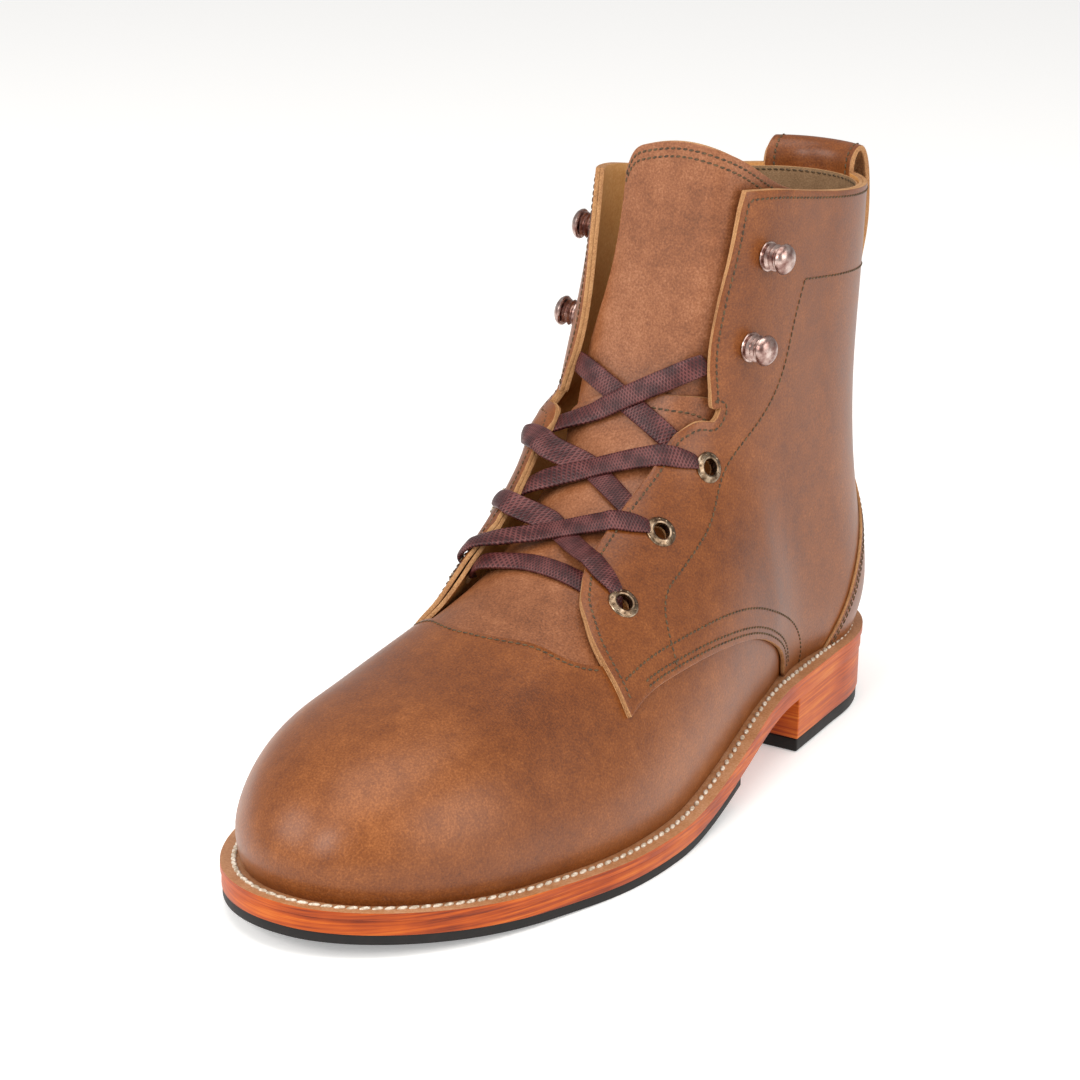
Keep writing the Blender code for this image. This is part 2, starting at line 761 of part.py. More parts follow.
def add_tongue(parts, materials):
    """The tongue lies under the vamp's seam and both facings, and rises rounded above the collar."""

    def place(s, t):
        across = 2 * s - 1
        top = TONGUE_TOP_LEVEL - TONGUE_SHOULDER * np.abs(across) ** TONGUE_ROUND
        foot = TONGUE_FOOT_LEVEL - TONGUE_FOOT_DROP * across ** 2
        level = foot + (top - foot) * t
        low, high = TONGUE_FOOT_LEVELS
        reach = TONGUE_REACH + TONGUE_FOOT_SPREAD * (1 - ease((level - low) / (high - low)))
        low, high = TONGUE_SPREAD_LEVELS
        lateral, medial = TONGUE_SPREAD
        reach = reach + np.where(across > 0, lateral, medial) * ease((level - low) / (high - low))
        return last_point(0.5 - across * reach, level, -TONGUE_CLEAR - TONGUE_THICK / 2)

    tongue = add_sheet("tongue", *TONGUE_STEPS, place, parts, materials["leather"])
    add_solidify(tongue, TONGUE_THICK)


def add_pull_loop(parts, materials):
    """A strap sewn to the backstay, looped over the back of the collar and into the boot."""
    line = smooth_path(PULL_LINE, PULL_STEPS[1] + 1)

    def place(s, t):
        row = np.rint(t * PULL_STEPS[1]).astype(int)
        x, z, bow = line[row].T
        y = (2 * s - 1) * PULL_HALF_WIDTH
        depth = leg_widest(z) - leg_back(z)
        round_off = 1 - (1 - np.abs(y / leg_half(z)) ** LEG_BACK_ROUND) ** (1 / LEG_BACK_ROUND)
        return np.stack([x + bow * depth * round_off, y, z], -1)

    strap = add_sheet("pull_loop", *PULL_STEPS, place, parts, materials["leather"])
    add_solidify(strap, PULL_THICK)


# Fittings and lace


def add_fittings(parts, materials):
    profiles = {"eyelet": EYELET_PROFILE, "hook": HOOK_PROFILE}
    number = dict.fromkeys(profiles, 0)
    for kind, x, z, *lifts in FITTINGS:
        number[kind] += 1
        for side_name, side, lift in zip(("lateral", "medial"), (1, -1), lifts):
            on_last, normal = side_point(x, z, side)
            point = on_last + normal * (QUARTER_WALL + lift)
            name = f"{kind}_{side_name}_{number[kind]}"
            add_turned(name, profiles[kind], point, normal, parts, materials["metal"])


def lace_strip(name, ends, lift, dip, collection, material=None):
    """A flat lace between two points of the last, straight as seen from over the instep."""
    start, end = ends
    along = end - start
    outward = last_normal(ends).sum(axis=0)
    outward = outward / np.linalg.norm(outward)

    def place(s, t):
        chord = start + along * t[:, None]
        reach = surface_reach(lambda up: (chord + outward * up[:, None]).T, len(t))
        on_last = chord + outward * reach[:, None]
        sag = dip * np.clip(1 - (on_last[:, 1] / LACE_SPAN) ** 2, 0, None)
        normal = last_normal(on_last)
        sideways = np.cross(normal, along)
        sideways = sideways / np.linalg.norm(sideways, axis=1, keepdims=True)
        return on_last + normal * (lift - sag)[:, None] + sideways * ((s - 0.5) * LACE_WIDTH)[:, None]

    strip = add_sheet(name, *LACE_STEPS, place, collection, material)
    add_solidify(strip, LACE_THICK)
    return strip


def add_laces(parts, cutters, materials):
    """One bar under the lowest row, and a joined crossing over each pair of rows."""

    def place_bar(s, t):
        around = 0.5 + (2 * t - 1) * BAR_REACH
        middle = last_point(around, np.full_like(around, BAR_LEVEL), BAR_LIFT)
        return middle + np.stack([(s - 0.5) * LACE_WIDTH, 0 * s, (0.5 - s) * LACE_WIDTH * BAR_SLOPE], -1)

    bar = add_sheet("lace_bar", *LACE_STEPS, place_bar, parts, materials["lace"])
    add_solidify(bar, LACE_THICK)
    for name, around, level, far_around, far_level, lift, dip, rise in LACE_CROSSINGS:
        places = np.array([around, -far_around])
        levels = np.array([level, far_level])
        strip = lace_strip(name, last_point(places, levels, 0.0), lift, dip, parts, materials["lace"])
        mirrored = last_point(-places, levels, 0.0)
        over = lace_strip(name + "_over", mirrored, lift + rise, dip, cutters)
        add_boolean(strip, "UNION", as_cutter(over))


def stand_on_origin(parts):
    """Parent every piece to one empty, placed so that the origin is under the middle of the boot."""
    bpy.context.view_layer.update()
    depsgraph = bpy.context.evaluated_depsgraph_get()
    corners = []
    for piece in parts.objects:
        shown = piece.evaluated_get(depsgraph)
        corners += [shown.matrix_world @ Vector(corner) for corner in shown.bound_box]
    low = Vector([min(corner[k] for corner in corners) for k in range(3)])
    high = Vector([max(corner[k] for corner in corners) for k in range(3)])
    middle = (low + high) / 2
    frame = bpy.data.objects.new("boot_frame", None)
    frame.location = (-middle.x, -middle.y, -low.z)
    return frame


def main():
    for old in list(bpy.data.objects):
        bpy.data.objects.remove(old)
    parts = make_collection("lace_up_boot")
    cutters = make_collection("lace_up_boot_cutters")
    materials = {name: make_material(name) for name in COLOURS}
    add_soles(parts, cutters, materials)
    add_upper(parts, cutters, materials)
    add_tongue(parts, materials)
    add_pull_loop(parts, materials)
    add_fittings(parts, materials)
    add_laces(parts, cutters, materials)
    frame = stand_on_origin(parts)
    for piece in [*parts.objects, *cutters.objects]:
        piece.parent = frame
    parts.objects.link(frame)


main()
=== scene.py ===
# %% [markdown]
# # A lace-up leather boot, dressed over its CAD frame
# The boot is a plain-toe derby for the left foot. A bootmaker cuts flat leather, pulls it over a wooden last and
# sews it to a welt, so every panel here is a flat sheet that is laid on the same last, in millimetres, and then
# given the thickness of leather. The frame comes first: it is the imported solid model, and it fixes size and place.

import bpy
import numpy as np
from mathutils import Matrix, Vector
from mathutils.geometry import delaunay_2d_cdt


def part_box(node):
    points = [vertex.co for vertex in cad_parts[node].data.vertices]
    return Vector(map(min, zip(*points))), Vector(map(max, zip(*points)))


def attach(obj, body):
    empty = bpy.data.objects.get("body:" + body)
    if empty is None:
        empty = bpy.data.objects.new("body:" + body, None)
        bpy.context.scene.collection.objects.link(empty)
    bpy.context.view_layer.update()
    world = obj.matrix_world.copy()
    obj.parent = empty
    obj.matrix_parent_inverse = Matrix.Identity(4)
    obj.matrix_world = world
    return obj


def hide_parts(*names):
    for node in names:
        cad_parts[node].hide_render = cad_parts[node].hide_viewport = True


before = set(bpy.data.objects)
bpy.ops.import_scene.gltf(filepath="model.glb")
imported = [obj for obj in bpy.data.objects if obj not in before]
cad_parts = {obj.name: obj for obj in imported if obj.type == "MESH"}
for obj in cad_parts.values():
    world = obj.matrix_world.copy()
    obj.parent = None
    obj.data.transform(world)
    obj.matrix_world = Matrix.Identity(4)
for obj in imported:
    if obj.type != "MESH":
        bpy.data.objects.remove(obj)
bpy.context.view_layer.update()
MM = 0.001

welt_low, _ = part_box("welt")
loop_low, loop_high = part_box("pull_loop")
# The drawing's own zero: the back of the welt, on the middle line of the leg, on the floor
DRAWING_ZERO = np.array([welt_low.x, (loop_low.y + loop_high.y) / 2, 0.0])


def to_world(points):
    return DRAWING_ZERO + np.asarray(points, float) * MM


print("nodes:", len(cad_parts), "drawing zero at", DRAWING_ZERO.round(4).tolist())

# %% [markdown]
# ## The last
# A last is the wooden form of a foot. Here it is two rounded forms, a foot and a leg, blended so that the instep is
# soft. Each is a number field that is 1 on the surface, so any point can be dropped on the last by a short search.
# Tables hold the drawn sections, and a smooth curve runs through each column.

# %% Tables of the last
WELT_LENGTH = 302.0
WELT_MARGIN = 8.0
HEEL_CENTRE = 42.0
TOE_CENTRE = 238.0
END_ROUND = 2.1
HEEL_RISE = 15.4
ARCH_BACK = 85.0
ARCH_FRONT = 178.0
SPRING_START = 205.0
TOE_SPRING = 5.5
LEATHER_LOW = 2.9
WELT_LOW = 7.4
WELT_TOP = 9.6
FEATHER = 9.9
HEEL_BREAST = 80.0
TOP_LIFT = 4.5
RUBBER_BACK = 132.0

OUTLINE = (
    # x, lateral, medial
    (0.0, 34.5, 36.5),
    (40.0, 36.0, 37.5),
    (65.0, 39.0, 38.5),
    (95.0, 43.0, 36.5),
    (122.0, 48.0, 35.5),
    (152.0, 53.0, 39.0),
    (182.0, 56.5, 46.5),
    (210.0, 56.0, 53.0),
    (238.0, 50.5, 52.5),
    (266.0, 45.5, 48.5),
    (302.0, 39.0, 45.0),
)
FOOT_SECTIONS = (
    # x, ridge, roundness
    (40.0, 90.0, 2.0),
    (100.0, 108.0, 2.0),
    (120.0, 106.0, 2.0),
    (135.0, 99.5, 2.0),
    (150.0, 91.0, 2.0),
    (165.0, 83.0, 2.0),
    (185.0, 74.0, 2.05),
    (205.0, 67.0, 2.1),
    (230.0, 60.0, 2.2),
    (260.0, 55.0, 2.4),
    (302.0, 51.0, 2.5),
)
LEG_SECTIONS = (
    # z, back, widest, front, half_width, front_round
    (20.0, 9.5, 46.0, 126.0, 29.5, 2.2),
    (38.0, 6.5, 46.0, 128.0, 31.5, 2.2),
    (55.0, 7.0, 48.0, 128.0, 31.0, 2.2),
    (75.0, 10.5, 52.0, 127.0, 29.5, 2.3),
    (95.0, 12.5, 55.0, 124.0, 28.5, 2.6),
    (115.0, 12.0, 57.0, 120.0, 28.0, 3.1),
    (140.0, 10.0, 57.0, 114.5, 28.0, 3.8),
    (165.0, 8.5, 56.0, 111.0, 28.0, 4.2),
    (190.0, 8.0, 55.0, 109.5, 28.0, 4.2),
    (215.0, 8.0, 55.0, 109.0, 28.0, 4.2),
)
LEVEL_PLACES = (0.0, 110.0, 200.0, 300.0)
LEVELS = (
    # heel, ankle, ball, toe, front_centre
    (0.0, 0.0, 0.0, 0.0, 240.0),
    (9.0, 9.0, 9.0, 9.0, 240.0),
    (19.0, 19.0, 19.0, 18.0, 240.0),
    (29.0, 29.0, 30.0, 27.0, 236.0),
    (40.0, 42.0, 40.0, 34.0, 220.0),
    (53.0, 54.0, 49.0, 40.0, 195.0),
    (68.0, 66.0, 57.5, 45.0, 160.0),
    (83.0, 78.0, 66.0, 50.0, 120.0),
    (99.0, 94.0, 75.0, 55.0, 90.0),
    (115.0, 115.0, 90.0, 60.0, 70.0),
    (128.0, 135.0, 120.0, 80.0, 64.0),
    (146.0, 160.5, 167.0, 120.0, 62.0),
    (158.0, 174.0, 178.0, 150.0, 61.0),
)
COLLAR_LEVEL = 11.0


# %% Smooth curves through the tables
class Curve:
    """A natural cubic line through one column of a table."""

    def __init__(self, places, values):
        self.places = np.array(places, float)
        self.values = np.array(values, float)
        step = np.diff(self.places)
        slope = np.diff(self.values) / step
        rows = np.eye(len(self.places))
        right = np.zeros(len(self.places))
        for i in range(1, len(step)):
            rows[i, i - 1:i + 2] = step[i - 1], 2 * (step[i - 1] + step[i]), step[i]
            right[i] = 6 * (slope[i] - slope[i - 1])
        self.bend = np.linalg.solve(rows, right)

    def __call__(self, at):
        at = np.clip(np.asarray(at, float), self.places[0], self.places[-1])
        i = np.clip(np.searchsorted(self.places, at) - 1, 0, len(self.places) - 2)
        span = self.places[i + 1] - self.places[i]
        b = (at - self.places[i]) / span
        a = 1 - b
        straight = a * self.values[i] + b * self.values[i + 1]
        curved = (a ** 3 - a) * self.bend[i] + (b ** 3 - b) * self.bend[i + 1]
        return straight + curved * span ** 2 / 6


def table_curves(table):
    rows = np.array(table, float)
    return [Curve(rows[:, 0], rows[:, k]) for k in range(1, rows.shape[1])]


def smooth_path(points, count, stretch=None):
    """Evenly spaced points on a smooth line through drawn ones; stretch weighs the columns for the spacing."""
    rows = np.array(points, float)
    weighed = rows if stretch is None else rows * stretch
    length = np.r_[0, np.cumsum(np.linalg.norm(np.diff(weighed, axis=0), axis=1))]
    at = np.linspace(0, length[-1], count)
    return np.stack([Curve(length, rows[:, k])(at) for k in range(rows.shape[1])], -1)


def ease(t):
    t = np.clip(t, 0.0, 1.0)
    return t * t * (3 - 2 * t)


lateral_half, medial_half = table_curves(OUTLINE)
ridge_height, foot_roundness = table_curves(FOOT_SECTIONS)
leg_back, leg_widest, leg_front, leg_half, leg_front_round = table_curves(LEG_SECTIONS)
level_curves = table_curves([(k, *row) for k, row in enumerate(LEVELS)])

# %% [markdown]
# The last as a number field. `last_point` walks round it: `around` runs from the back by the lateral side to the
# front at 0.5, and `level` climbs from the feather edge, where the upper meets the welt, to the collar at 11.
# `side_point` finds the surface behind a place in the side view, which is how stitch lines were read.

# %% The last as a number field
SIDE_SWELL = 3.0
SWELL_SHARE = 0.35
SWELL_WIDTH = 48.0
FOOT_HEEL_START = 70.0
FOOT_HEEL_END = 14.0
FADE_START = 100.0
FADE_LENGTH = 70.0
FADE_AMOUNT = 0.5
INSTEP_BLEND = 9.0
LEG_BACK_ROUND = 2.2
LEG_TUCK = 0.07
LEG_TUCK_HEIGHT = 18.0
HEEL_ORIGIN = 44.0
HEEL_ARC_END = 0.15
FRONT_ARC_START = 0.85
FARTHEST = 160.0
HALVINGS = 30
# The instep is fuller on its medial side
FULLNESS = 8.0
FULLNESS_MIDDLE = (122.0, 100.0)
FULLNESS_SLOPE = (0.8, -0.6)
FULLNESS_REACH = (36.0, 30.0)
FULLNESS_SIDES = (12.0, -28.0)
FULLNESS_FOOT = (40.0, 70.0)
FULLNESS_WAY = (0.35, -0.93)


def sole_line(x):
    arch = ease((ARCH_FRONT - x) / (ARCH_FRONT - ARCH_BACK))
    spring = np.clip((x - SPRING_START) / (WELT_LENGTH - SPRING_START), 0.0, 1.1) ** 2
    return HEEL_RISE * arch + TOE_SPRING * spring


def instep_fullness(x, y, z):
    ahead = x - FULLNESS_MIDDLE[0]
    above = z - FULLNESS_MIDDLE[1]
    along = (ahead * FULLNESS_SLOPE[0] + above * FULLNESS_SLOPE[1]) / FULLNESS_REACH[0]
    across = (above * FULLNESS_SLOPE[0] - ahead * FULLNESS_SLOPE[1]) / FULLNESS_REACH[1]
    lateral, medial = FULLNESS_SIDES
    low, high = FULLNESS_FOOT
    side = ease((lateral - y) / (lateral - medial))
    return FULLNESS * np.exp(-(along ** 2 + across ** 2) / 2) * side * ease((z - low) / (high - low))


def last_radius(x, y, z):
    full = instep_fullness(x, y, z)
    x = x - full * FULLNESS_WAY[0]
    y = y - full * FULLNESS_WAY[1]
    base = sole_line(x) + FEATHER
    rise = np.clip((z - base) / (ridge_height(x) - base), 0.0, None)
    half = np.where(y > 0, lateral_half(x), medial_half(x)) - WELT_MARGIN + SIDE_SWELL
    toe = np.clip(x - TOE_CENTRE, 0.0, None) / (WELT_LENGTH - WELT_MARGIN + SIDE_SWELL - TOE_CENTRE)
    heel = np.clip(FOOT_HEEL_START - x, 0.0, None) / (FOOT_HEEL_START - FOOT_HEEL_END)
    across = (toe ** END_ROUND + heel ** END_ROUND + np.abs(y / half) ** END_ROUND) ** (1 / END_ROUND)
    tuck = 1 - SIDE_SWELL / SWELL_WIDTH * np.clip(1 - rise / SWELL_SHARE, 0.0, None) ** 2
    n = foot_roundness(x)
    foot = ((across / tuck) ** n + rise ** n) ** (1 / n)
    foot = foot * (1 + FADE_AMOUNT * ease((FADE_START - x) / FADE_LENGTH))
    middle, wide = leg_widest(z), leg_half(z)
    behind = x < middle
    depth = np.where(behind, middle - leg_back(z), leg_front(z) - middle)
    n = np.where(behind, LEG_BACK_ROUND, leg_front_round(z))
    leg = (np.abs((x - middle) / depth) ** n + np.abs(y / wide) ** n) ** (1 / n)
    leg = leg * (1 + LEG_TUCK * np.clip(1 - (z - base) / LEG_TUCK_HEIGHT, 0.0, 1.0) ** 2)
    return (foot ** -INSTEP_BLEND + leg ** -INSTEP_BLEND) ** (-1 / INSTEP_BLEND)


def surface_reach(place, count):
    low = np.zeros(count)
    high = np.full(count, FARTHEST)
    for _ in range(HALVINGS):
        middle = (low + high) / 2
        outside = last_radius(*place(middle)) > 1
        high = np.where(outside, middle, high)
        low = np.where(outside, low, middle)
    return low


def last_slope(points):
    x, y, z = np.moveaxis(points, -1, 0)
    step = 0.05
    return np.stack([
        last_radius(x + step, y, z) - last_radius(x - step, y, z),
        last_radius(x, y + step, z) - last_radius(x, y - step, z),
        last_radius(x, y, z + step) - last_radius(x, y, z - step),
    ], -1) / (2 * step)


def unit(vectors):
    return vectors / np.linalg.norm(vectors, axis=-1, keepdims=True)


def last_normal(points):
    return unit(last_slope(points))


def level_height(level, x):
    height = sole_line(x) + FEATHER
    for i, here in enumerate(LEVEL_PLACES):
        weight = np.ones_like(x)
        for other in LEVEL_PLACES:
            if other != here:
                weight = weight * (x - other) / (here - other)
        height = height + level_curves[i](level) * weight
    return height


def last_point(around, level, lift):
    around = np.mod(around, 1.0)
    level = np.broadcast_to(level, around.shape)
    side = np.where(around < 0.5, 1.0, -1.0)
    forward = np.where(around < 0.5, 2 * around, 2 - 2 * around)
    angle = np.pi * (1 - forward)
    share = ease((forward - HEEL_ARC_END) / (FRONT_ARC_START - HEEL_ARC_END))
    start = HEEL_ORIGIN + (level_curves[4](level) - HEEL_ORIGIN) * share

    def place(t):
        x = start + np.cos(angle) * t
        return x, side * np.sin(angle) * t, level_height(level, x)

    points = np.stack(place(surface_reach(place, len(start))), -1)
    return points + last_normal(points) * np.reshape(lift, (-1, 1))


def side_point(x, z, side, lift=0.0):
    x = np.atleast_1d(np.asarray(x, float))
    z = np.atleast_1d(np.asarray(z, float))
    reach = surface_reach(lambda t: (x, side * t, z), len(x))
    points = np.stack([x, side * reach, z], -1)
    return points + last_normal(points) * lift


def rest_on_last(points, lift):
    """Drop points that are already near the last on it, then lift them."""
    points = np.array(points, float)
    for _ in range(6):
        slope = last_slope(points)
        miss = last_radius(*points.T) - 1
        points = points - slope * (miss / (slope ** 2).sum(axis=1))[:, None]
    return points + last_normal(points) * np.reshape(lift, (-1, 1))


print("toe height mm:", round(float(last_point(np.array([0.5]), np.array([3.0]), 0.0)[0, 2]), 1))

# %% [markdown]
# ## Camera, light and floor
# The photograph looks at the toe and the lateral side from a little above, with a long lens. Its angle was fitted to
# the sole's outline. The camera keeps that place and turns a little to put this one boot in the middle.

# %% Camera at the photograph's angle
CAMERA_TURN = np.radians(34.3)
CAMERA_RISE = np.radians(17.4)
CAMERA_ROLL = np.radians(0.9)
CAMERA_DISTANCE = 1142.8
CAMERA_AIM = np.array([195.4, -34.9, 90.0])
PHOTO_SIDE = 1080.0
PHOTO_FOCAL = 3877.0
SENSOR = 36.0
# Where the middle of this boot lies in the photograph, counted from the picture's middle
BOOT_RIGHT = 142.0
BOOT_DOWN = 15.0

back = np.array([
    np.cos(CAMERA_TURN) * np.cos(CAMERA_RISE),
    np.sin(CAMERA_TURN) * np.cos(CAMERA_RISE),
    np.sin(CAMERA_RISE),
])
level_right = unit(np.cross([0.0, 0.0, 1.0], back))
level_up = np.cross(back, level_right)
right = level_right * np.cos(CAMERA_ROLL) + level_up * np.sin(CAMERA_ROLL)
up = level_up * np.cos(CAMERA_ROLL) - level_right * np.sin(CAMERA_ROLL)
look = unit(right * BOOT_RIGHT - up * BOOT_DOWN - back * PHOTO_FOCAL)
turned_right = unit(np.cross(look, up))
turned_up = np.cross(turned_right, look)

bpy.ops.object.select_all(action="DESELECT")
bpy.ops.object.camera_add()
camera = bpy.context.object
camera.name = "photo_camera"
camera.data.sensor_width = SENSOR
camera.data.lens = PHOTO_FOCAL / PHOTO_SIDE * SENSOR
turn = Matrix([[*row] for row in np.stack([turned_right, turned_up, -look], -1)]).to_4x4()
camera.matrix_world = Matrix.Translation(to_world(CAMERA_AIM + back * CAMERA_DISTANCE)) @ turn
bpy.context.scene.camera = camera
print("lens mm:", round(camera.data.lens, 1))

# %% Soft studio light and a pale floor
LIGHTS = (
    # name, place, aim, size, watts, colour
    ("overhead_softbox", (0.25, 0.15, 1.30), (0.02, 0.0, 0.08), 1.1, 9.0, (1.0, 0.98, 0.95)),
    ("front_softbox", (0.95, -0.72, 0.72), (0.08, 0.0, 0.06), 0.6, 6.5, (1.0, 0.98, 0.96)),
    ("toe_softbox", (1.30, 0.12, 0.74), (0.10, 0.0, 0.05), 0.45, 7.0, (1.0, 0.98, 0.96)),
    ("side_softbox", (0.05, 1.25, 0.60), (0.0, 0.0, 0.08), 0.9, 8.0, (1.0, 0.97, 0.94)),
)
for name, place, aim, size, watts, colour in LIGHTS:
    bpy.ops.object.light_add(type="AREA", location=place)
    lamp = bpy.context.object
    lamp.name = name
    lamp.data.size = size
    lamp.data.energy = watts
    lamp.data.color = colour
    lamp.rotation_euler = (Vector(aim) - Vector(place)).to_track_quat("-Z", "Y").to_euler()

sky = bpy.data.worlds.new("white_studio")
bpy.context.scene.world = sky
sky.use_nodes = True
sky.node_tree.nodes["Background"].inputs["Color"].default_value = (1.0, 1.0, 1.0, 1.0)
sky.node_tree.nodes["Background"].inputs["Strength"].default_value = 0.5
bpy.context.scene.view_settings.view_transform = "Standard"

bpy.ops.mesh.primitive_plane_add(size=6.0, location=(0, 0, -0.0002))
floor = bpy.context.object
floor.name = "studio_floor"
print("lights:", len(LIGHTS))

# %% [markdown]
# ## Materials
# Each finish starts from what it is: waxed pull-up leather, its raw cut edge, vegetable-tanned welt leather,
# a dressed sole edge, rubber, waxed cotton braid, antique brass and copper nickel. Colours are sRGB hex values, and a
# pattern's size is given in millimetres, because a noise texture's scale counts features per metre here.


# %% Material helpers
def hex_colour(code):
    """An sRGB hex value as linear red, green, blue and alpha."""
    values = [int(code[k:k + 2], 16) / 255 for k in (1, 3, 5)]
    linear = [v / 12.92 if v <= 0.04045 else ((v + 0.055) / 1.055) ** 2.4 for v in values]
    return (*linear, 1.0)


def per_metre(size_mm):
    return 1000.0 / size_mm


def add_node(material, kind, settings=None, links=None, stops=None):
    """Add one node: lower-case settings are its own, others are sockets; links feed sockets from other nodes."""
    node = material.node_tree.nodes.new(kind)
    for key, value in (settings or {}).items():
        if isinstance(key, str) and key[0].islower():
            setattr(node, key, value)
        else:
            node.inputs[key].default_value = value
    for key, source in (links or {}).items():
        material.node_tree.links.new(source, node.inputs[key])
    if stops:
        while len(node.color_ramp.elements) < len(stops):
            node.color_ramp.elements.new(0.5)
        for element, (place, code) in zip(node.color_ramp.elements, stops):
            element.position = place
            element.color = hex_colour(code)
    return node


def new_material(name, **sockets):
    material = bpy.data.materials.new(name)
    material.use_nodes = True
    shader = material.node_tree.nodes["Principled BSDF"]
    for key, value in sockets.items():
        shader.inputs[key.replace("_", " ")].default_value = value
    return material, shader


def dress(material, shader, ramp, rough=None, bump=None):
    """Feed a shader's colour, roughness and relief."""
    for node, output, socket in ((ramp, "Color", "Base Color"), (rough, "Result", "Roughness"),
                                 (bump, "Normal", "Normal")):
        if node is not None:
            material.node_tree.links.new(node.outputs[output], shader.inputs[socket])
    return material


def mottled_leather(name, stops, cloud_mm, mottle_mm, grain_mm, grain_depth_mm, low_rough, high_rough, **sockets):
    """Leather's look: slow clouds of wax, a finer mottle and the pores of the grain."""
    material, shader = new_material(name, **sockets)
    place = add_node(material, "ShaderNodeTexCoord").outputs["Object"]
    clouds = add_node(material, "ShaderNodeTexNoise",
                      {"Scale": per_metre(cloud_mm), "Detail": 4.0, "Roughness": 0.55}, {"Vector": place})
    mottle = add_node(material, "ShaderNodeTexNoise",
                      {"Scale": per_metre(mottle_mm), "Detail": 3.0, "Roughness": 0.6}, {"Vector": place})
    grain = add_node(material, "ShaderNodeTexNoise",
                     {"Scale": per_metre(grain_mm), "Detail": 2.0, "Roughness": 0.6}, {"Vector": place})
    slow = add_node(material, "ShaderNodeMath", {"operation": "MULTIPLY", 1: 0.36}, {0: clouds.outputs["Fac"]})
    fine = add_node(material, "ShaderNodeMath", {"operation": "MULTIPLY_ADD", 1: 0.22},
                    {0: mottle.outputs["Fac"], 2: slow.outputs[0]})
    tone = add_node(material, "ShaderNodeMath", {"operation": "MULTIPLY_ADD", 1: 0.42},
                    {0: grain.outputs["Fac"], 2: fine.outputs[0]})
    ramp = add_node(material, "ShaderNodeValToRGB", links={"Fac": tone.outputs[0]}, stops=stops)
    rough = add_node(material, "ShaderNodeMapRange", {"To Min": low_rough, "To Max": high_rough},
                     {"Value": mottle.outputs["Fac"]})
    pores = add_node(material, "ShaderNodeTexVoronoi", {"Scale": per_metre(grain_mm * 1.4)}, {"Vector": place})
    relief = add_node(material, "ShaderNodeMath", {"operation": "MULTIPLY_ADD", 1: 0.6},
                      {0: pores.outputs["Distance"], 2: grain.outputs["Fac"]})
    bump = add_node(material, "ShaderNodeBump", {"Strength": 0.5, "Distance": grain_depth_mm * MM},
                    {"Height": relief.outputs[0]})
    return dress(material, shader, ramp, rough, bump)


# %% [markdown]
# Pull-up leather is stuffed with oil and wax, so it goes lighter where it is stretched and shines softly. Its pores
# are about 0.6 mm apart. The raw edge and the flesh side are the same hide without dye on top, so they are paler and
# dry. Welt leather is undyed, and the lining is a thin smooth natural leather.

# %% Leather finishes
pull_up_leather = mottled_leather(
    "waxed_pull_up_leather",
    [(0.36, "#5a2c0d"), (0.46, "#703a12"), (0.54, "#7e4519"), (0.66, "#97592a")],
    cloud_mm=60.0, mottle_mm=6.0, grain_mm=0.6, grain_depth_mm=0.10, low_rough=0.36, high_rough=0.47,
    IOR=1.36, Coat_Weight=0.25, Coat_Roughness=0.3)
tongue_leather = mottled_leather(
    "soft_pull_up_leather",
    [(0.36, "#63381e"), (0.46, "#7d4929"), (0.54, "#8d5735"), (0.66, "#a6704e")],
    cloud_mm=45.0, mottle_mm=6.0, grain_mm=0.65, grain_depth_mm=0.14, low_rough=0.38, high_rough=0.5,
    IOR=1.44)
raw_edge = mottled_leather(
    "raw_cut_leather",
    [(0.34, "#845a36"), (0.46, "#a3744a"), (0.56, "#b58759"), (0.68, "#c99e72")],
    cloud_mm=20.0, mottle_mm=3.0, grain_mm=0.5, grain_depth_mm=0.25, low_rough=0.75, high_rough=0.9, IOR=1.45)
lining_leather = mottled_leather(
    "natural_lining_leather",
    [(0.30, "#ab7238"), (0.46, "#bd8548"), (0.58, "#c89357"), (0.72, "#d6a66e")],
    cloud_mm=50.0, mottle_mm=8.0, grain_mm=0.9, grain_depth_mm=0.06, low_rough=0.55, high_rough=0.7, IOR=1.45)
suede = mottled_leather(
    "suede_heel_grip",
    [(0.30, "#634a30"), (0.46, "#7b5f42"), (0.58, "#8d7051"), (0.72, "#a08364")],
    cloud_mm=24.0, mottle_mm=4.0, grain_mm=0.45, grain_depth_mm=0.2, low_rough=0.85, high_rough=0.95, IOR=1.45)
welt_leather = mottled_leather(
    "natural_welt_leather",
    [(0.34, "#8f5d33"), (0.46, "#a87249"), (0.56, "#b5825b"), (0.70, "#c69775")],
    cloud_mm=40.0, mottle_mm=5.0, grain_mm=0.7, grain_depth_mm=0.1, low_rough=0.5, high_rough=0.65, IOR=1.48)
print("leathers made")

# %% [markdown]
# The sole's edge is cut across stacked leather, stained orange, then burnished with wax. The stack shows as fine
# level streaks, under a millimetre high and a few centimetres long.


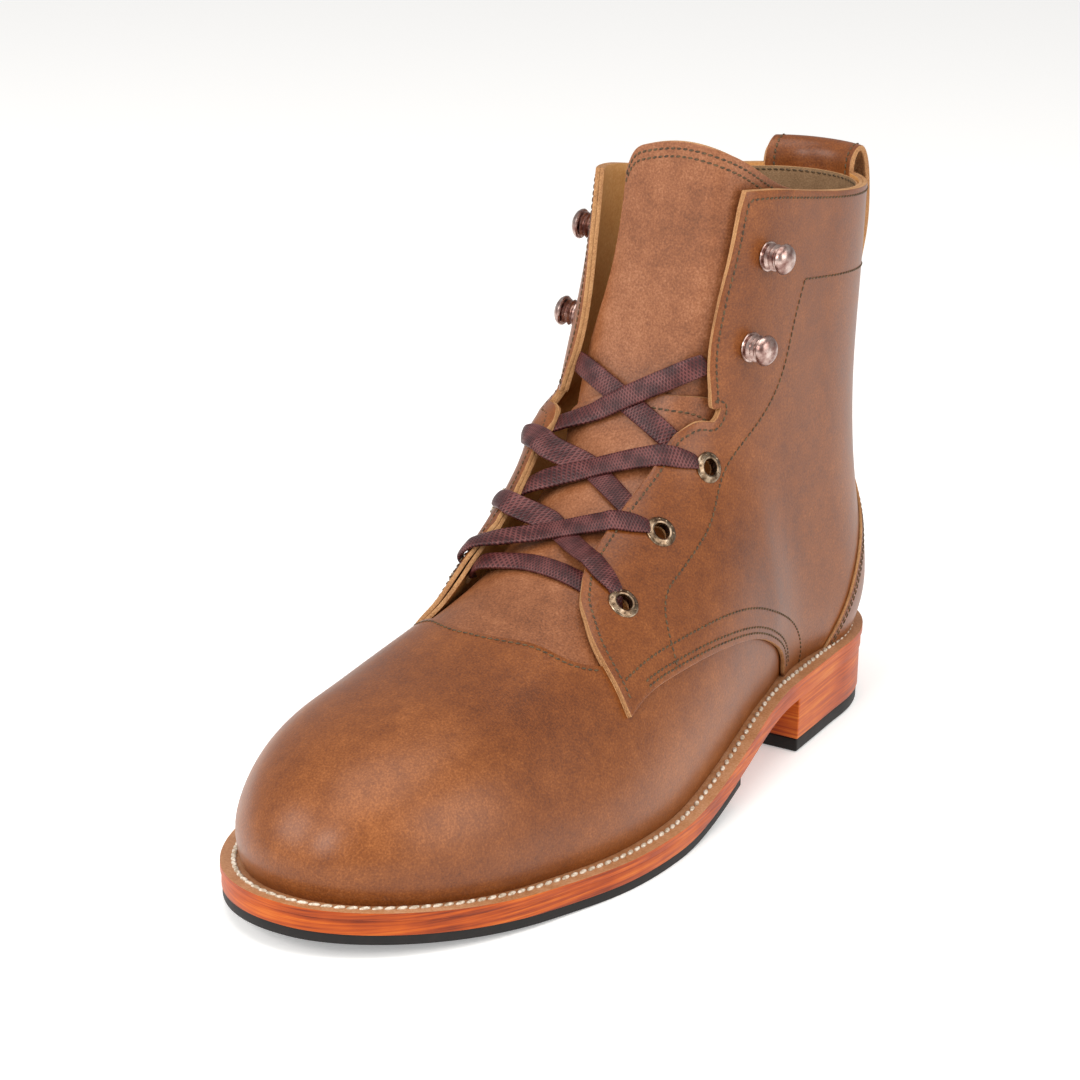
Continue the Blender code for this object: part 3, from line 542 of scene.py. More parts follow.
# %% Sole finishes
def dressed_edge_finish():
    material, shader = new_material("burnished_sole_edge", IOR=1.36)
    place = add_node(material, "ShaderNodeTexCoord").outputs["Object"]
    streak = add_node(material, "ShaderNodeMapping",
                      {"Scale": (per_metre(34.0), per_metre(34.0), per_metre(0.8))}, {"Vector": place})
    layers = add_node(material, "ShaderNodeTexNoise", {"Scale": 1.0, "Detail": 5.0, "Roughness": 0.62},
                      {"Vector": streak.outputs[0]})
    clouds = add_node(material, "ShaderNodeTexNoise", {"Scale": per_metre(26.0), "Detail": 3.0}, {"Vector": place})
    slow = add_node(material, "ShaderNodeMath", {"operation": "MULTIPLY", 1: 0.38}, {0: clouds.outputs["Fac"]})
    tone = add_node(material, "ShaderNodeMath", {"operation": "MULTIPLY_ADD", 1: 0.62},
                    {0: layers.outputs["Fac"], 2: slow.outputs[0]})
    ramp = add_node(material, "ShaderNodeValToRGB", links={"Fac": tone.outputs[0]},
                    stops=[(0.34, "#661f03"), (0.45, "#9b3d06"), (0.54, "#b6510b"), (0.66, "#cd7526")])
    rough = add_node(material, "ShaderNodeMapRange", {"To Min": 0.34, "To Max": 0.55},
                     {"Value": layers.outputs["Fac"]})
    bump = add_node(material, "ShaderNodeBump", {"Strength": 0.35, "Distance": 0.12 * MM},
                    {"Height": layers.outputs["Fac"]})
    return dress(material, shader, ramp, rough, bump)


def rubber_finish():
    material, shader = new_material("moulded_sole_rubber", IOR=1.4)
    place = add_node(material, "ShaderNodeTexCoord").outputs["Object"]
    dust = add_node(material, "ShaderNodeTexNoise", {"Scale": per_metre(6.0), "Detail": 4.0}, {"Vector": place})
    ramp = add_node(material, "ShaderNodeValToRGB", links={"Fac": dust.outputs["Fac"]},
                    stops=[(0.35, "#0c0a09"), (0.55, "#141110"), (0.75, "#1f1a18")])
    rough = add_node(material, "ShaderNodeMapRange", {"To Min": 0.5, "To Max": 0.75},
                     {"Value": dust.outputs["Fac"]})
    pebble = add_node(material, "ShaderNodeTexNoise", {"Scale": per_metre(0.9), "Detail": 2.0}, {"Vector": place})
    bump = add_node(material, "ShaderNodeBump", {"Strength": 0.3, "Distance": 0.1 * MM},
                    {"Height": pebble.outputs["Fac"]})
    return dress(material, shader, ramp, rough, bump)


sole_edge = dressed_edge_finish()
sole_rubber = rubber_finish()

# %% [markdown]
# Thread is spun and waxed. The welt's thread is thick cream linen, and the upper's is a fine olive-brown one. The
# lace is a flat waxed cotton braid: its yarns cross at a slant, which two slanting waves on the lace's own length and
# width show, in relief and in colour. In colour the crests are painted lighter and the gaps darker, a painted
# highlight and painted shade. A wave texture has one wave in 0.314 of its scale's unit, so that its size too comes
# from millimetres.


# %% Thread, lace, metal and floor finishes
def thread_finish(name, dark, light):
    material, shader = new_material(name, IOR=1.5, Roughness=0.6)
    place = add_node(material, "ShaderNodeTexCoord").outputs["Object"]
    twist = add_node(material, "ShaderNodeTexNoise", {"Scale": per_metre(1.2), "Detail": 2.0}, {"Vector": place})
    ramp = add_node(material, "ShaderNodeValToRGB", links={"Fac": twist.outputs["Fac"]},
                    stops=[(0.35, dark), (0.65, light)])
    return dress(material, shader, ramp)


BRAID_MM = 1.0
BRAID_SLANT = 0.5
WAVE_UNIT = 0.314


def braid_finish():
    material, shader = new_material("waxed_cotton_braid", IOR=1.4)
    cloth = add_node(material, "ShaderNodeUVMap", {"uv_map": "UVMap"}).outputs["UV"]
    slants = []
    for angle in (BRAID_SLANT, -BRAID_SLANT):
        turned = add_node(material, "ShaderNodeMapping", {"Rotation": (0.0, 0.0, angle)}, {"Vector": cloth})
        wave = add_node(material, "ShaderNodeTexWave", {
            "Scale": per_metre(BRAID_MM) * WAVE_UNIT,
            "Distortion": 0.8,
            "Detail": 1.0,
            "Detail Scale": 2.0,
        }, {"Vector": turned.outputs[0]})
        slants.append(wave.outputs["Fac"])
    yarns = add_node(material, "ShaderNodeMath", {"operation": "MAXIMUM"}, {0: slants[0], 1: slants[1]})
    wax = add_node(material, "ShaderNodeTexNoise", {"Scale": per_metre(7.0), "Detail": 3.0}, {"Vector": cloth})
    # The yarn waves make the colour lighter on the crests and darker in the gaps, a painted highlight and painted
    # shade, mixed with a random wax tone
    painted_yarn_light_and_wax = add_node(material, "ShaderNodeMath", {"operation": "MULTIPLY_ADD", 1: 0.45},
                     {0: yarns.outputs[0], 2: wax.outputs["Fac"]})
    ramp = add_node(material, "ShaderNodeValToRGB", links={"Fac": painted_yarn_light_and_wax.outputs[0]},
                    stops=[(0.40, "#1d080a"), (0.65, "#321012"), (0.85, "#421819"), (1.0, "#663735")])
    rough = add_node(material, "ShaderNodeMapRange", {"To Min": 0.5, "To Max": 0.34}, {"Value": yarns.outputs[0]})
    bump = add_node(material, "ShaderNodeBump", {"Strength": 0.7, "Distance": 0.16 * MM},
                    {"Height": yarns.outputs[0]})
    return dress(material, shader, ramp, rough, bump)


def metal_finish(name, stops):
    material, shader = new_material(name, Metallic=1.0)
    place = add_node(material, "ShaderNodeTexCoord").outputs["Object"]
    patina = add_node(material, "ShaderNodeTexNoise", {"Scale": per_metre(2.4), "Detail": 4.0}, {"Vector": place})
    ramp = add_node(material, "ShaderNodeValToRGB", links={"Fac": patina.outputs["Fac"]}, stops=stops)
    rough = add_node(material, "ShaderNodeMapRange", {"To Min": 0.36, "To Max": 0.2},
                     {"Value": patina.outputs["Fac"]})
    return dress(material, shader, ramp, rough)


upper_thread = thread_finish("olive_upper_thread", "#35230f", "#5b4526")
welt_thread = thread_finish("cream_welt_thread", "#a8957c", "#e8dccb")
lace_braid = braid_finish()
antique_brass = metal_finish("antique_brass", [(0.32, "#4b392b"), (0.50, "#826d58"), (0.68, "#ad9a84")])
hook_nickel = metal_finish("antique_copper_nickel", [(0.32, "#7d5c55"), (0.50, "#ab9088"), (0.68, "#cdb9b1")])
floor_paint, _ = new_material("pale_studio_paper", Roughness=0.9, Base_Color=hex_colour("#f4f3f1"),
                              Emission_Color=(1.0, 1.0, 1.0, 1.0), Emission_Strength=0.3)
floor.data.materials.append(floor_paint)
print("materials:", len(bpy.data.materials))

# %% [markdown]
# ## Sheet work
# A panel starts as a grid, the flat hide. Its points are laid on the last, the face that looks out is checked, and
# Solidify gives it a wall with three finishes: the grain side, the flesh side and the cut edge. A small bevel rounds
# the cut. Every piece rides on the boot's only body.


# %% Helpers for sheets
def select_only(piece):
    bpy.ops.object.select_all(action="DESELECT")
    piece.select_set(True)
    bpy.context.view_layer.objects.active = piece


def apply_modifiers(piece):
    select_only(piece)
    for modifier in list(piece.modifiers):
        bpy.ops.object.modifier_apply(modifier=modifier.name)


def points_of(piece):
    flat = np.zeros(len(piece.data.vertices) * 3)
    piece.data.vertices.foreach_get("co", flat)
    return flat.reshape(-1, 3)


def put_points(piece, points):
    piece.data.vertices.foreach_set("co", np.asarray(points, float).ravel())
    piece.data.update()


def lay_sheet(name, across, along, place, outward=None):
    """A grid primitive laid by place(s, t) in drawing millimetres, its faces turned outward at the sheet's middle."""
    bpy.ops.object.select_all(action="DESELECT")
    bpy.ops.mesh.primitive_grid_add(x_subdivisions=across, y_subdivisions=along, size=1.0)
    sheet = bpy.context.object
    sheet.name = name
    sheet.data.name = name
    flat = points_of(sheet)
    drawn = place(flat[:, 0] + 0.5, flat[:, 1] + 0.5)
    put_points(sheet, to_world(drawn))
    middle = sheet.data.polygons[(along // 2) * across + across // 2]
    if outward is None:
        outward = last_normal(drawn[list(middle.vertices)]).mean(axis=0)
    if middle.normal.dot(Vector(outward)) < 0:
        sheet.data.flip_normals()
    return sheet


def new_piece(name, drawn, faces):
    mesh = bpy.data.meshes.new(name)
    mesh.from_pydata(to_world(drawn).tolist(), [], faces)
    piece = bpy.data.objects.new(name, mesh)
    bpy.context.scene.collection.objects.link(piece)
    return piece


def add_wall(piece, thickness):
    wall = piece.modifiers.new("Wall", "SOLIDIFY")
    wall.thickness = thickness * MM
    wall.offset = 0.0
    return wall


def add_bevel(piece, width, segments, angle):
    edge = piece.modifiers.new("Round", "BEVEL")
    edge.width = width * MM
    edge.segments = segments
    edge.limit_method = "ANGLE"
    edge.angle_limit = np.radians(angle)
    edge.material = -1


def give_thickness(sheet, thickness, finishes, round_mm=0.3):
    """Leather's wall: grain side, flesh side and cut edge."""
    for finish in finishes:
        sheet.data.materials.append(finish)
    wall = add_wall(sheet, thickness)
    wall.use_quality_normals = True
    wall.material_offset = 1
    wall.material_offset_rim = 2
    add_bevel(sheet, round_mm, 2, 55)
    apply_modifiers(sheet)
    bpy.ops.object.shade_smooth_by_angle(angle=np.radians(50))
    return sheet


def join_boot(piece, slot, *nodes):
    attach(piece, "root")
    if nodes:
        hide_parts(*nodes)
    print(piece.name, "faces:", len(piece.data.polygons))
    return piece


# %% [markdown]
# ## The sole
# Seen from above, welt, outsole and rubber share one outline, a little smaller at each layer down. A circle primitive
# takes that outline and is extruded to a block. A bent slab, a grid with thickness that follows the sole's line, is
# cut to it, so that each layer springs up at the toe and climbs to the heel.

# %% The outline and its blocks
OUTLINE_POINTS = 200
SLAB_STEPS = 110
SLAB_SPARE = 8.0
SLAB_WIDTH = 140.0
BLOCK_LOW = -20.0
BLOCK_HIGH = 60.0


def outline_loop(inset, count):
    forward = (1 - np.cos(np.linspace(0, np.pi, count // 2 + 1))) / 2
    x = forward * WELT_LENGTH
    heel = np.clip((HEEL_CENTRE - x) / HEEL_CENTRE, 0, 1)
    toe = np.clip((x - TOE_CENTRE) / (WELT_LENGTH - TOE_CENTRE), 0, 1)
    close = np.clip(1 - heel ** END_ROUND - toe ** END_ROUND, 0, None) ** (1 / END_ROUND)
    lateral = np.stack([x, lateral_half(x) * close], -1)
    medial = np.stack([x, -medial_half(x) * close], -1)[-2:0:-1]
    loop = np.concatenate([lateral, medial])
    along = np.roll(loop, -1, 0) - np.roll(loop, 1, 0)
    inward = np.stack([along[:, 1], -along[:, 0]], -1)
    return loop + inset * unit(inward)


def cut_outline(loop, keep_from, keep_to):
    """The part of an outline between two x places, closed by straight lines across the boot."""
    ends = []
    for x in (keep_from, keep_to):
        if loop[:, 0].min() < x < loop[:, 0].max():
            for side in (1, -1):
                half = loop[np.sign(loop[:, 1]) == side]
                half = half[np.argsort(half[:, 0])]
                ends.append((x, np.interp(x, half[:, 0], half[:, 1])))
    kept = np.concatenate([loop[(loop[:, 0] > keep_from) & (loop[:, 0] < keep_to)], np.array(ends)])
    middle = kept.mean(axis=0)
    return kept[np.argsort(np.arctan2(kept[:, 1] - middle[1], kept[:, 0] - middle[0]))]


def outline_block(name, loop, low, high):
    """A filled circle that takes the outline, extruded upward."""
    bpy.ops.object.select_all(action="DESELECT")
    bpy.ops.mesh.primitive_circle_add(vertices=len(loop), radius=1.0, fill_type="NGON")
    block = bpy.context.object
    block.name = name
    turn_way = loop if np.cross(loop[0] - loop.mean(0), loop[1] - loop.mean(0)) < 0 else loop[::-1]
    put_points(block, to_world(np.c_[turn_way, np.full(len(loop), low)]))
    bpy.ops.object.mode_set(mode="EDIT")
    bpy.ops.mesh.select_all(action="SELECT")
    bpy.ops.mesh.extrude_region_move(TRANSFORM_OT_translate={"value": (0, 0, (high - low) * MM)})
    bpy.ops.mesh.select_all(action="SELECT")
    bpy.ops.mesh.normals_make_consistent(inside=False)
    bpy.ops.object.mode_set(mode="OBJECT")
    return block


def cut_away(piece, operation, tool):
    knife = piece.modifiers.new("Knife", "BOOLEAN")
    knife.operation = operation
    knife.object = tool
    apply_modifiers(piece)
    bpy.data.objects.remove(tool)


def round_edges(piece, width_mm):
    add_bevel(piece, width_mm, 3, 50)
    apply_modifiers(piece)
    bpy.ops.object.shade_smooth_by_angle(angle=np.radians(40))


def bent_plate(name, loop, low, high, hole=None):
    """A slab along the sole's line, cut to an outline."""

    def place(s, t):
        x = s * (WELT_LENGTH + 2 * SLAB_SPARE) - SLAB_SPARE
        return np.stack([x, (t - 0.5) * SLAB_WIDTH, sole_line(x) + (low + high) / 2], -1)

    plate = lay_sheet(name, SLAB_STEPS, 1, place, outward=(0, 0, 1))
    add_wall(plate, high - low)
    apply_modifiers(plate)
    cut_away(plate, "INTERSECT", outline_block("outline_tool", loop, BLOCK_LOW, BLOCK_HIGH))
    if hole is not None:
        cut_away(plate, "DIFFERENCE", outline_block("hole_tool", hole, BLOCK_LOW, BLOCK_HIGH))
    return plate


# %% Welt, outsole, rubber and heel
WELT_WITHIN = 1.2
WELT_FLAT = 0.75
OUTSOLE_INSET = 0.45
LOWER_INSET = 0.8
LIFT_INSET = 1.2
LAYER_GAP = 0.05
welt = bent_plate("welt_strip", outline_loop(0.0, OUTLINE_POINTS), WELT_LOW, WELT_TOP,
                  hole=outline_loop(WELT_MARGIN + WELT_WITHIN, OUTLINE_POINTS))
round_edges(welt, 0.5)
welt.data.materials.append(welt_leather)
welt.data.materials.append(sole_edge)
for face in welt.data.polygons:
    face.material_index = 0 if face.normal.z > WELT_FLAT else 1
join_boot(welt, "natural", "welt")

outsole_loop = outline_loop(OUTSOLE_INSET, OUTLINE_POINTS)
lower_loop = outline_loop(LOWER_INSET, OUTLINE_POINTS)
rubber_loop = cut_outline(lower_loop, RUBBER_BACK, 2 * WELT_LENGTH)
heel_loop = cut_outline(lower_loop, -WELT_LENGTH, HEEL_BREAST)
lift_loop = cut_outline(outline_loop(LIFT_INSET, OUTLINE_POINTS), -WELT_LENGTH, HEEL_BREAST - 0.5)
outsole = bent_plate("leather_outsole_layer", outsole_loop, LEATHER_LOW, WELT_LOW - LAYER_GAP)
rubber = bent_plate("rubber_half_sole", rubber_loop, 0.0, LEATHER_LOW - LAYER_GAP)
heel = outline_block("stacked_heel", heel_loop, TOP_LIFT, HEEL_RISE + LEATHER_LOW - LAYER_GAP)
top_lift = outline_block("rubber_top_lift", lift_loop, 0.0, TOP_LIFT - 0.02)
for piece, edge_mm, finish, slot, node in (
    (outsole, 0.35, sole_edge, "edge", "leather_outsole"),
    (rubber, 0.5, sole_rubber, "rubber", "rubber_forefoot_sole"),
    (heel, 0.4, sole_edge, "edge", "heel_stack"),
    (top_lift, 0.6, sole_rubber, "rubber", "heel_top_lift"),
):
    round_edges(piece, edge_mm)
    piece.data.materials.append(finish)
    join_boot(piece, slot, node)

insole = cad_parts["insole"]
insole.data.materials.clear()
insole.data.materials.append(lining_leather)

# %% [markdown]
# ## The vamp
# The vamp is the front of the boot: one piece of leather from the welt up to the tongue's seam. Its sides run on
# under the quarters, so only its front edge is drawn exactly. It has four simple sides, so a grid laid on the last
# gives it.

# %% Vamp
VAMP_TOP = (
    # around, level
    (0.172, 0.25),
    (0.190, 1.20),
    (0.209, 2.70),
    (0.227, 3.70),
    (0.244, 4.15),
    (0.265, 4.35),
    (0.290, 4.50),
    (0.313, 4.66),
    (0.337, 4.92),
    (0.385, 5.48),
    (0.441, 5.82),
    (0.484, 5.95),
    (0.500, 5.97),
)
VAMP_WALL = 1.4
VAMP_SIDE = 0.172
(vamp_top,) = table_curves(VAMP_TOP)


def vamp_edge(around):
    return vamp_top(np.minimum(around, 1 - around))


def vamp_place(s, t):
    around = VAMP_SIDE + (1 - 2 * VAMP_SIDE) * s
    return last_point(around, t * vamp_edge(around), VAMP_WALL / 2)


vamp = lay_sheet("vamp", 190, 90, vamp_place)
give_thickness(vamp, VAMP_WALL, (pull_up_leather, lining_leather, raw_edge))
join_boot(vamp, "leather", "upper")

# %% [markdown]
# ## The quarters
# Two quarters wrap the heel and lap over the vamp. On the last, each is bounded by the feather edge and the wing
# below, the facing in front, the collar above and the back seam. The facing steps back in a notch where the hooks
# begin. A grid would fold at that notch, so the flat outline of the hide is filled with even triangles, as a cutter
# would lay a pattern on a skin, and the triangles are then laid on the last.

# %% Edges of a quarter
WING = (
    # around, level
    (0.191, 0.00),
    (0.194, 0.31),
    (0.198, 0.87),
    (0.209, 1.76),
    (0.227, 2.79),
    (0.244, 3.30),
    (0.265, 3.70),
    (0.282, 3.87),
    (0.292, 3.87),
    (0.299, 3.72),
    (0.303, 3.50),
)
FACING_LOW = (
    # around, level
    (0.303, 3.50),
    (0.312, 4.07),
    (0.331, 4.84),
    (0.354, 5.42),
    (0.383, 5.91),
    (0.412, 6.25),
    (0.433, 6.52),
    (0.446, 6.78),
    (0.4496, 6.99),
    (0.4472, 7.18),
    (0.4409, 7.34),
    (0.4340, 7.45),
    (0.4285, 7.57),
    (0.4265, 7.70),
    (0.4235, 7.83),
    (0.4171, 7.90),
    (0.4058, 7.95),
    (0.3885, 7.92),
    (0.3760, 7.86),
)
FACING_HIGH = (
    # around, level
    (0.3760, 7.86),
    (0.3722, 7.88),
    (0.3731, 7.93),
    (0.3837, 8.04),
    (0.4046, 8.31),
    (0.4214, 8.67),
    (0.4286, 9.01),
    (0.4302, 9.41),
    (0.4285, 9.76),
    (0.4248, 10.09),
    (0.4214, 10.42),
    (0.4186, 10.74),
    (0.4152, 11.00),
)
# Millimetres of hide for one turn round the last and for one level
FLAT = np.array([600.0, 14.0])
OUTLINE_STEP = 1.1


def cut_line(points):
    """A smooth cut through drawn points, at an even step along the hide."""
    rows = np.array(points)
    length = np.linalg.norm(np.diff(rows * FLAT, axis=0), axis=1).sum()
    return smooth_path(points, max(2, int(length / OUTLINE_STEP)), FLAT)


wing_edge = cut_line(WING)
facing_edge = np.concatenate([cut_line(FACING_LOW)[:-1], cut_line(FACING_HIGH)])
collar_edge = cut_line((FACING_HIGH[-1], (0.2, COLLAR_LEVEL), (0.0, COLLAR_LEVEL)))
back_edge = cut_line(((0.0, COLLAR_LEVEL), (0.0, 5.0), (0.0, 0.0)))
feather_edge = cut_line(((0.0, 0.0), (0.1, 0.0), WING[0]))
quarter_edges = (wing_edge, facing_edge, collar_edge, back_edge, feather_edge)
quarter_outline = np.concatenate([edge[:-1] for edge in quarter_edges])
print("points on a quarter's outline:", len(quarter_outline))

# %% A flat hide of even triangles
INNER_STEP = 2.2
INNER_CLEAR = 1.3


def inside_outline(points, outline):
    """True for points inside a closed outline: a level line from each crosses it an odd number of times."""
    start = outline
    end = np.roll(outline, -1, 0)
    x, y = points[:, 0, None], points[:, 1, None]
    crosses = (start[:, 1] > y) != (end[:, 1] > y)
    rise = np.where(end[:, 1] == start[:, 1], 1.0, end[:, 1] - start[:, 1])
    left = x < start[:, 0] + (end[:, 0] - start[:, 0]) * (y - start[:, 1]) / rise
    return (crosses & left).sum(axis=1) % 2 == 1


def flat_hide(outline):
    """Points and triangles that fill an outline of around and level."""
    border = outline * FLAT
    low, high = border.min(axis=0), border.max(axis=0)
    across = np.arange(low[0], high[0], INNER_STEP)
    upward = np.arange(low[1], high[1], INNER_STEP * 0.87)
    x, y = np.meshgrid(across, upward)
    x[1::2] += INNER_STEP / 2
    net = np.stack([x.ravel(), y.ravel()], -1)
    net = net[inside_outline(net, border)]
    gap = np.linalg.norm(net[:, None] - border[None], axis=2).min(axis=1)
    points = np.concatenate([border, net[gap > INNER_CLEAR]])
    rim = [(k, (k + 1) % len(border)) for k in range(len(border))]
    filled = delaunay_2d_cdt([Vector(point) for point in points], rim, [], 1, 1e-4)
    return np.array([tuple(point) for point in filled[0]]) / FLAT, filled[2]


def lay_hide(name, hide, side, place):
    """A flat hide laid on one side of the last by place(around, level)."""
    flat, faces = hide
    drawn = place(flat[:, 0] * side, flat[:, 1])
    sheet = new_piece(name, drawn, faces)
    middle = sheet.data.polygons[len(faces) // 2]
    if middle.normal.dot(Vector(last_normal(drawn[list(middle.vertices)]).mean(axis=0))) < 0:
        sheet.data.flip_normals()
    return sheet


quarter_hide = flat_hide(quarter_outline)
print("triangles in a quarter:", len(quarter_hide[1]))

# %% [markdown]
# The lower medial facing stands off the tongue, because the boot is laced loosely. One small function moves every
# point near it, so the leather, its stitches, its eyelets and the lace's ends move together. The lining is the
# same cut as the quarter: under the vamp it lies deeper, and above the vamp's edge and beside the facing it rises to
# the quarter's flesh side. The eyelets' holes are punched through both.

# %% Quarters and their lining
QUARTER_IN = 1.75
QUARTER_OUT = 3.15
LINING_WALL = 1.25
LINING_CLEAR = 0.04
LINING_SINK = 0.1
LINING_STEP = (0.03, 0.14)
FACING_BAND = (15.0, 6.0)
FLARE = 8.0
FLARE_REACH = 27.0
FLARE_FOOT = (62.0, 82.0)
FLARE_TOP = (103.0, 116.0)
FLARE_SIDE = (3.0, 11.0)
EYELET_PLACES = ((170.4, 69.8), (143.8, 84.6), (117.0, 99.2))
EYELET_HOLE = 2.75
PUNCH_DEPTH = 16.0
facing_view = last_point(facing_edge[:, 0], facing_edge[:, 1], QUARTER_OUT)[::2][:, [0, 2]]


def facing_gap(points):
    """How far points are from the facing's edge, in side view."""
    return np.linalg.norm(points[:, None, [0, 2]] - facing_view[None], axis=2).min(axis=1)


def open_facing(points):
    """Move points near the medial facing off the tongue."""
    _, y, z = points.T
    rise = ease((z - FLARE_FOOT[0]) / (FLARE_FOOT[1] - FLARE_FOOT[0]))
    fall = ease((FLARE_TOP[1] - z) / (FLARE_TOP[1] - FLARE_TOP[0]))
    near = ease(1 - facing_gap(points) / FLARE_REACH) * ease((-y - FLARE_SIDE[0]) / FLARE_SIDE[1])
    move = FLARE * near * rise * fall
    return points + move[:, None] * np.array([*FULLNESS_WAY, 0.0])


def joined(name, pieces):
    bpy.ops.object.select_all(action="DESELECT")
    for piece in pieces:
        piece.select_set(True)
    bpy.context.view_layer.objects.active = pieces[0]
    bpy.ops.object.join()
    whole = bpy.context.object
    whole.name = name
    whole.data.name = name
    return whole


def punch(piece, side):
    """Round holes for the eyelets, square to the leather."""
    tools = []
    for x, z in EYELET_PLACES:
        foot = side_point(x, z, side)
        out = Vector(last_normal(foot)[0])
        bpy.ops.object.select_all(action="DESELECT")
        bpy.ops.mesh.primitive_cylinder_add(vertices=28, radius=EYELET_HOLE * MM, depth=PUNCH_DEPTH * MM,
                                            location=to_world(open_facing(foot)[0]),
                                            rotation=out.to_track_quat("Z", "Y").to_euler())
        tools.append(bpy.context.object)
    cut_away(piece, "DIFFERENCE", joined("punch", tools))


def quarter_place(around, level):
    return open_facing(last_point(around, level, (QUARTER_IN + QUARTER_OUT) / 2))


def lining_place(around, level):
    under_vamp = -LINING_SINK - LINING_WALL / 2
    under_quarter = QUARTER_IN - LINING_CLEAR - LINING_WALL / 2
    past_vamp = ease((level - vamp_edge(np.mod(around, 1.0)) - LINING_STEP[0]) / LINING_STEP[1])
    gap = facing_gap(last_point(around, level, QUARTER_IN))
    above = np.maximum(past_vamp, ease((FACING_BAND[0] - gap) / FACING_BAND[1]))
    return open_facing(last_point(around, level, under_vamp + (under_quarter - under_vamp) * above))


for side, name in ((1, "lateral"), (-1, "medial")):
    quarter = lay_hide(f"quarter_{name}", quarter_hide, side, quarter_place)
    give_thickness(quarter, QUARTER_OUT - QUARTER_IN, (pull_up_leather, raw_edge, raw_edge), round_mm=0.35)
    punch(quarter, side)
    join_boot(quarter, "leather")
    lining = lay_hide(f"quarter_lining_{name}", quarter_hide, side, lining_place)
    give_thickness(lining, LINING_WALL, (raw_edge, lining_leather, raw_edge), round_mm=0.3)
    punch(lining, side)
    join_boot(lining, "lining")

# %% [markdown]
# ## Counter, heel grip and pull strap
# The counter is a stiff patch round the heel that narrows to a backstay and covers the back seam. Inside, a piece of
# suede keeps the heel from slipping. The pull strap is sewn low on the backstay, loops up and is caught in the
# collar's top edge.

# %% Counter and heel grip
COUNTER = (
    # level, reach
    (0.0, 0.155),
    (1.0, 0.150),
    (2.1, 0.141),
    (3.7, 0.117),
    (5.05, 0.076),
    (6.5, 0.042),
    (8.0, 0.034),
    (11.0, 0.034),
)
COUNTER_IN = QUARTER_OUT + 0.02
COUNTER_OUT = 4.2
(counter_reach,) = table_curves(COUNTER)


def counter_place(s, t):
    level = COLLAR_LEVEL * t
    return last_point((2 * s - 1) * counter_reach(level), level, (COUNTER_IN + COUNTER_OUT) / 2)


counter = lay_sheet("heel_counter", 60, 110, counter_place)
give_thickness(counter, COUNTER_OUT - COUNTER_IN, (pull_up_leather, raw_edge, raw_edge))
join_boot(counter, "leather")

GRIP_REACH = 0.16
GRIP_TAPER = 0.25
GRIP_FOOT = 4.0
GRIP_TOP = COLLAR_LEVEL - 0.06
GRIP_SINK = 0.1
GRIP_WALL = 0.8


def grip_place(s, t):
    level = GRIP_FOOT + (GRIP_TOP - GRIP_FOOT) * t
    return last_point((2 * s - 1) * GRIP_REACH * (1 - GRIP_TAPER + GRIP_TAPER * t), level, -GRIP_SINK)


grip = lay_sheet("suede_heel_grip", 40, 40, grip_place)
give_thickness(grip, GRIP_WALL, (raw_edge, suede, raw_edge), round_mm=0.15)
join_boot(grip, "lining")

# %% Pull strap
PULL_LINE = (
    # x, z, bow
    (6.9, 97.0, 1.0),
    (6.7, 110.0, 1.0),
    (5.3, 124.0, 1.0),
    (1.8, 140.0, 0.92),
    (-1.8, 154.0, 0.78),
    (-3.0, 166.0, 0.7),
    (-1.2, 175.0, 0.7),
    (2.6, 178.6, 0.75),
    (5.8, 176.6, 0.9),
    (6.9, 172.5, 1.0),
    (7.1, 168.5, 1.0),
)
PULL_LEAN = 2.0
LEAN_FROM = 148.0
LEAN_OVER = 25.0
PULL_HALF_WIDTH = 15.0
PULL_THICK = 1.8
PULL_ROWS = 110
PULL_CHAMFER = 3.5
CHAMFER_LENGTH = 8.0
pull_line = smooth_path(PULL_LINE, 400)
pull_length = np.linalg.norm(np.diff(pull_line[:, :2], axis=0), axis=1).sum()


def pull_point(across, t):
    """A place on the strap: across from -1 to 1, t from its low end over the loop to the collar."""
    x, z, bow = [np.interp(t, np.linspace(0, 1, len(pull_line)), pull_line[:, k]) for k in range(3)]
    low_end = ease(1 - t * pull_length / CHAMFER_LENGTH)
    y = across * PULL_HALF_WIDTH - PULL_LEAN * ease((z - LEAN_FROM) / LEAN_OVER)
    z = z + low_end * PULL_CHAMFER * np.abs(across) ** 3
    depth = leg_widest(z) - leg_back(z)
    round_off = 1 - (1 - np.abs(y / leg_half(z)) ** LEG_BACK_ROUND) ** (1 / LEG_BACK_ROUND)
    return np.stack([x + bow * depth * round_off, y, z], -1)


strap = lay_sheet("pull_strap", 24, PULL_ROWS, lambda s, t: pull_point(2 * s - 1, t), outward=(-0.6, 0, 0.8))
give_thickness(strap, PULL_THICK, (pull_up_leather, raw_edge, raw_edge))
join_boot(strap, "leather", "pull_loop")
print("strap length mm:", round(pull_length))

# %% [markdown]
# ## The tongue
# The tongue is two pieces: a short one sewn under the vamp's edge, and the long one that rises above the collar. The
# short one laps over the long one. Both lie a little inside the last, under the facings. The leaf sits askew, as a
# worn tongue does: it reaches further round on the lateral side, and its top slopes down to the collar there.

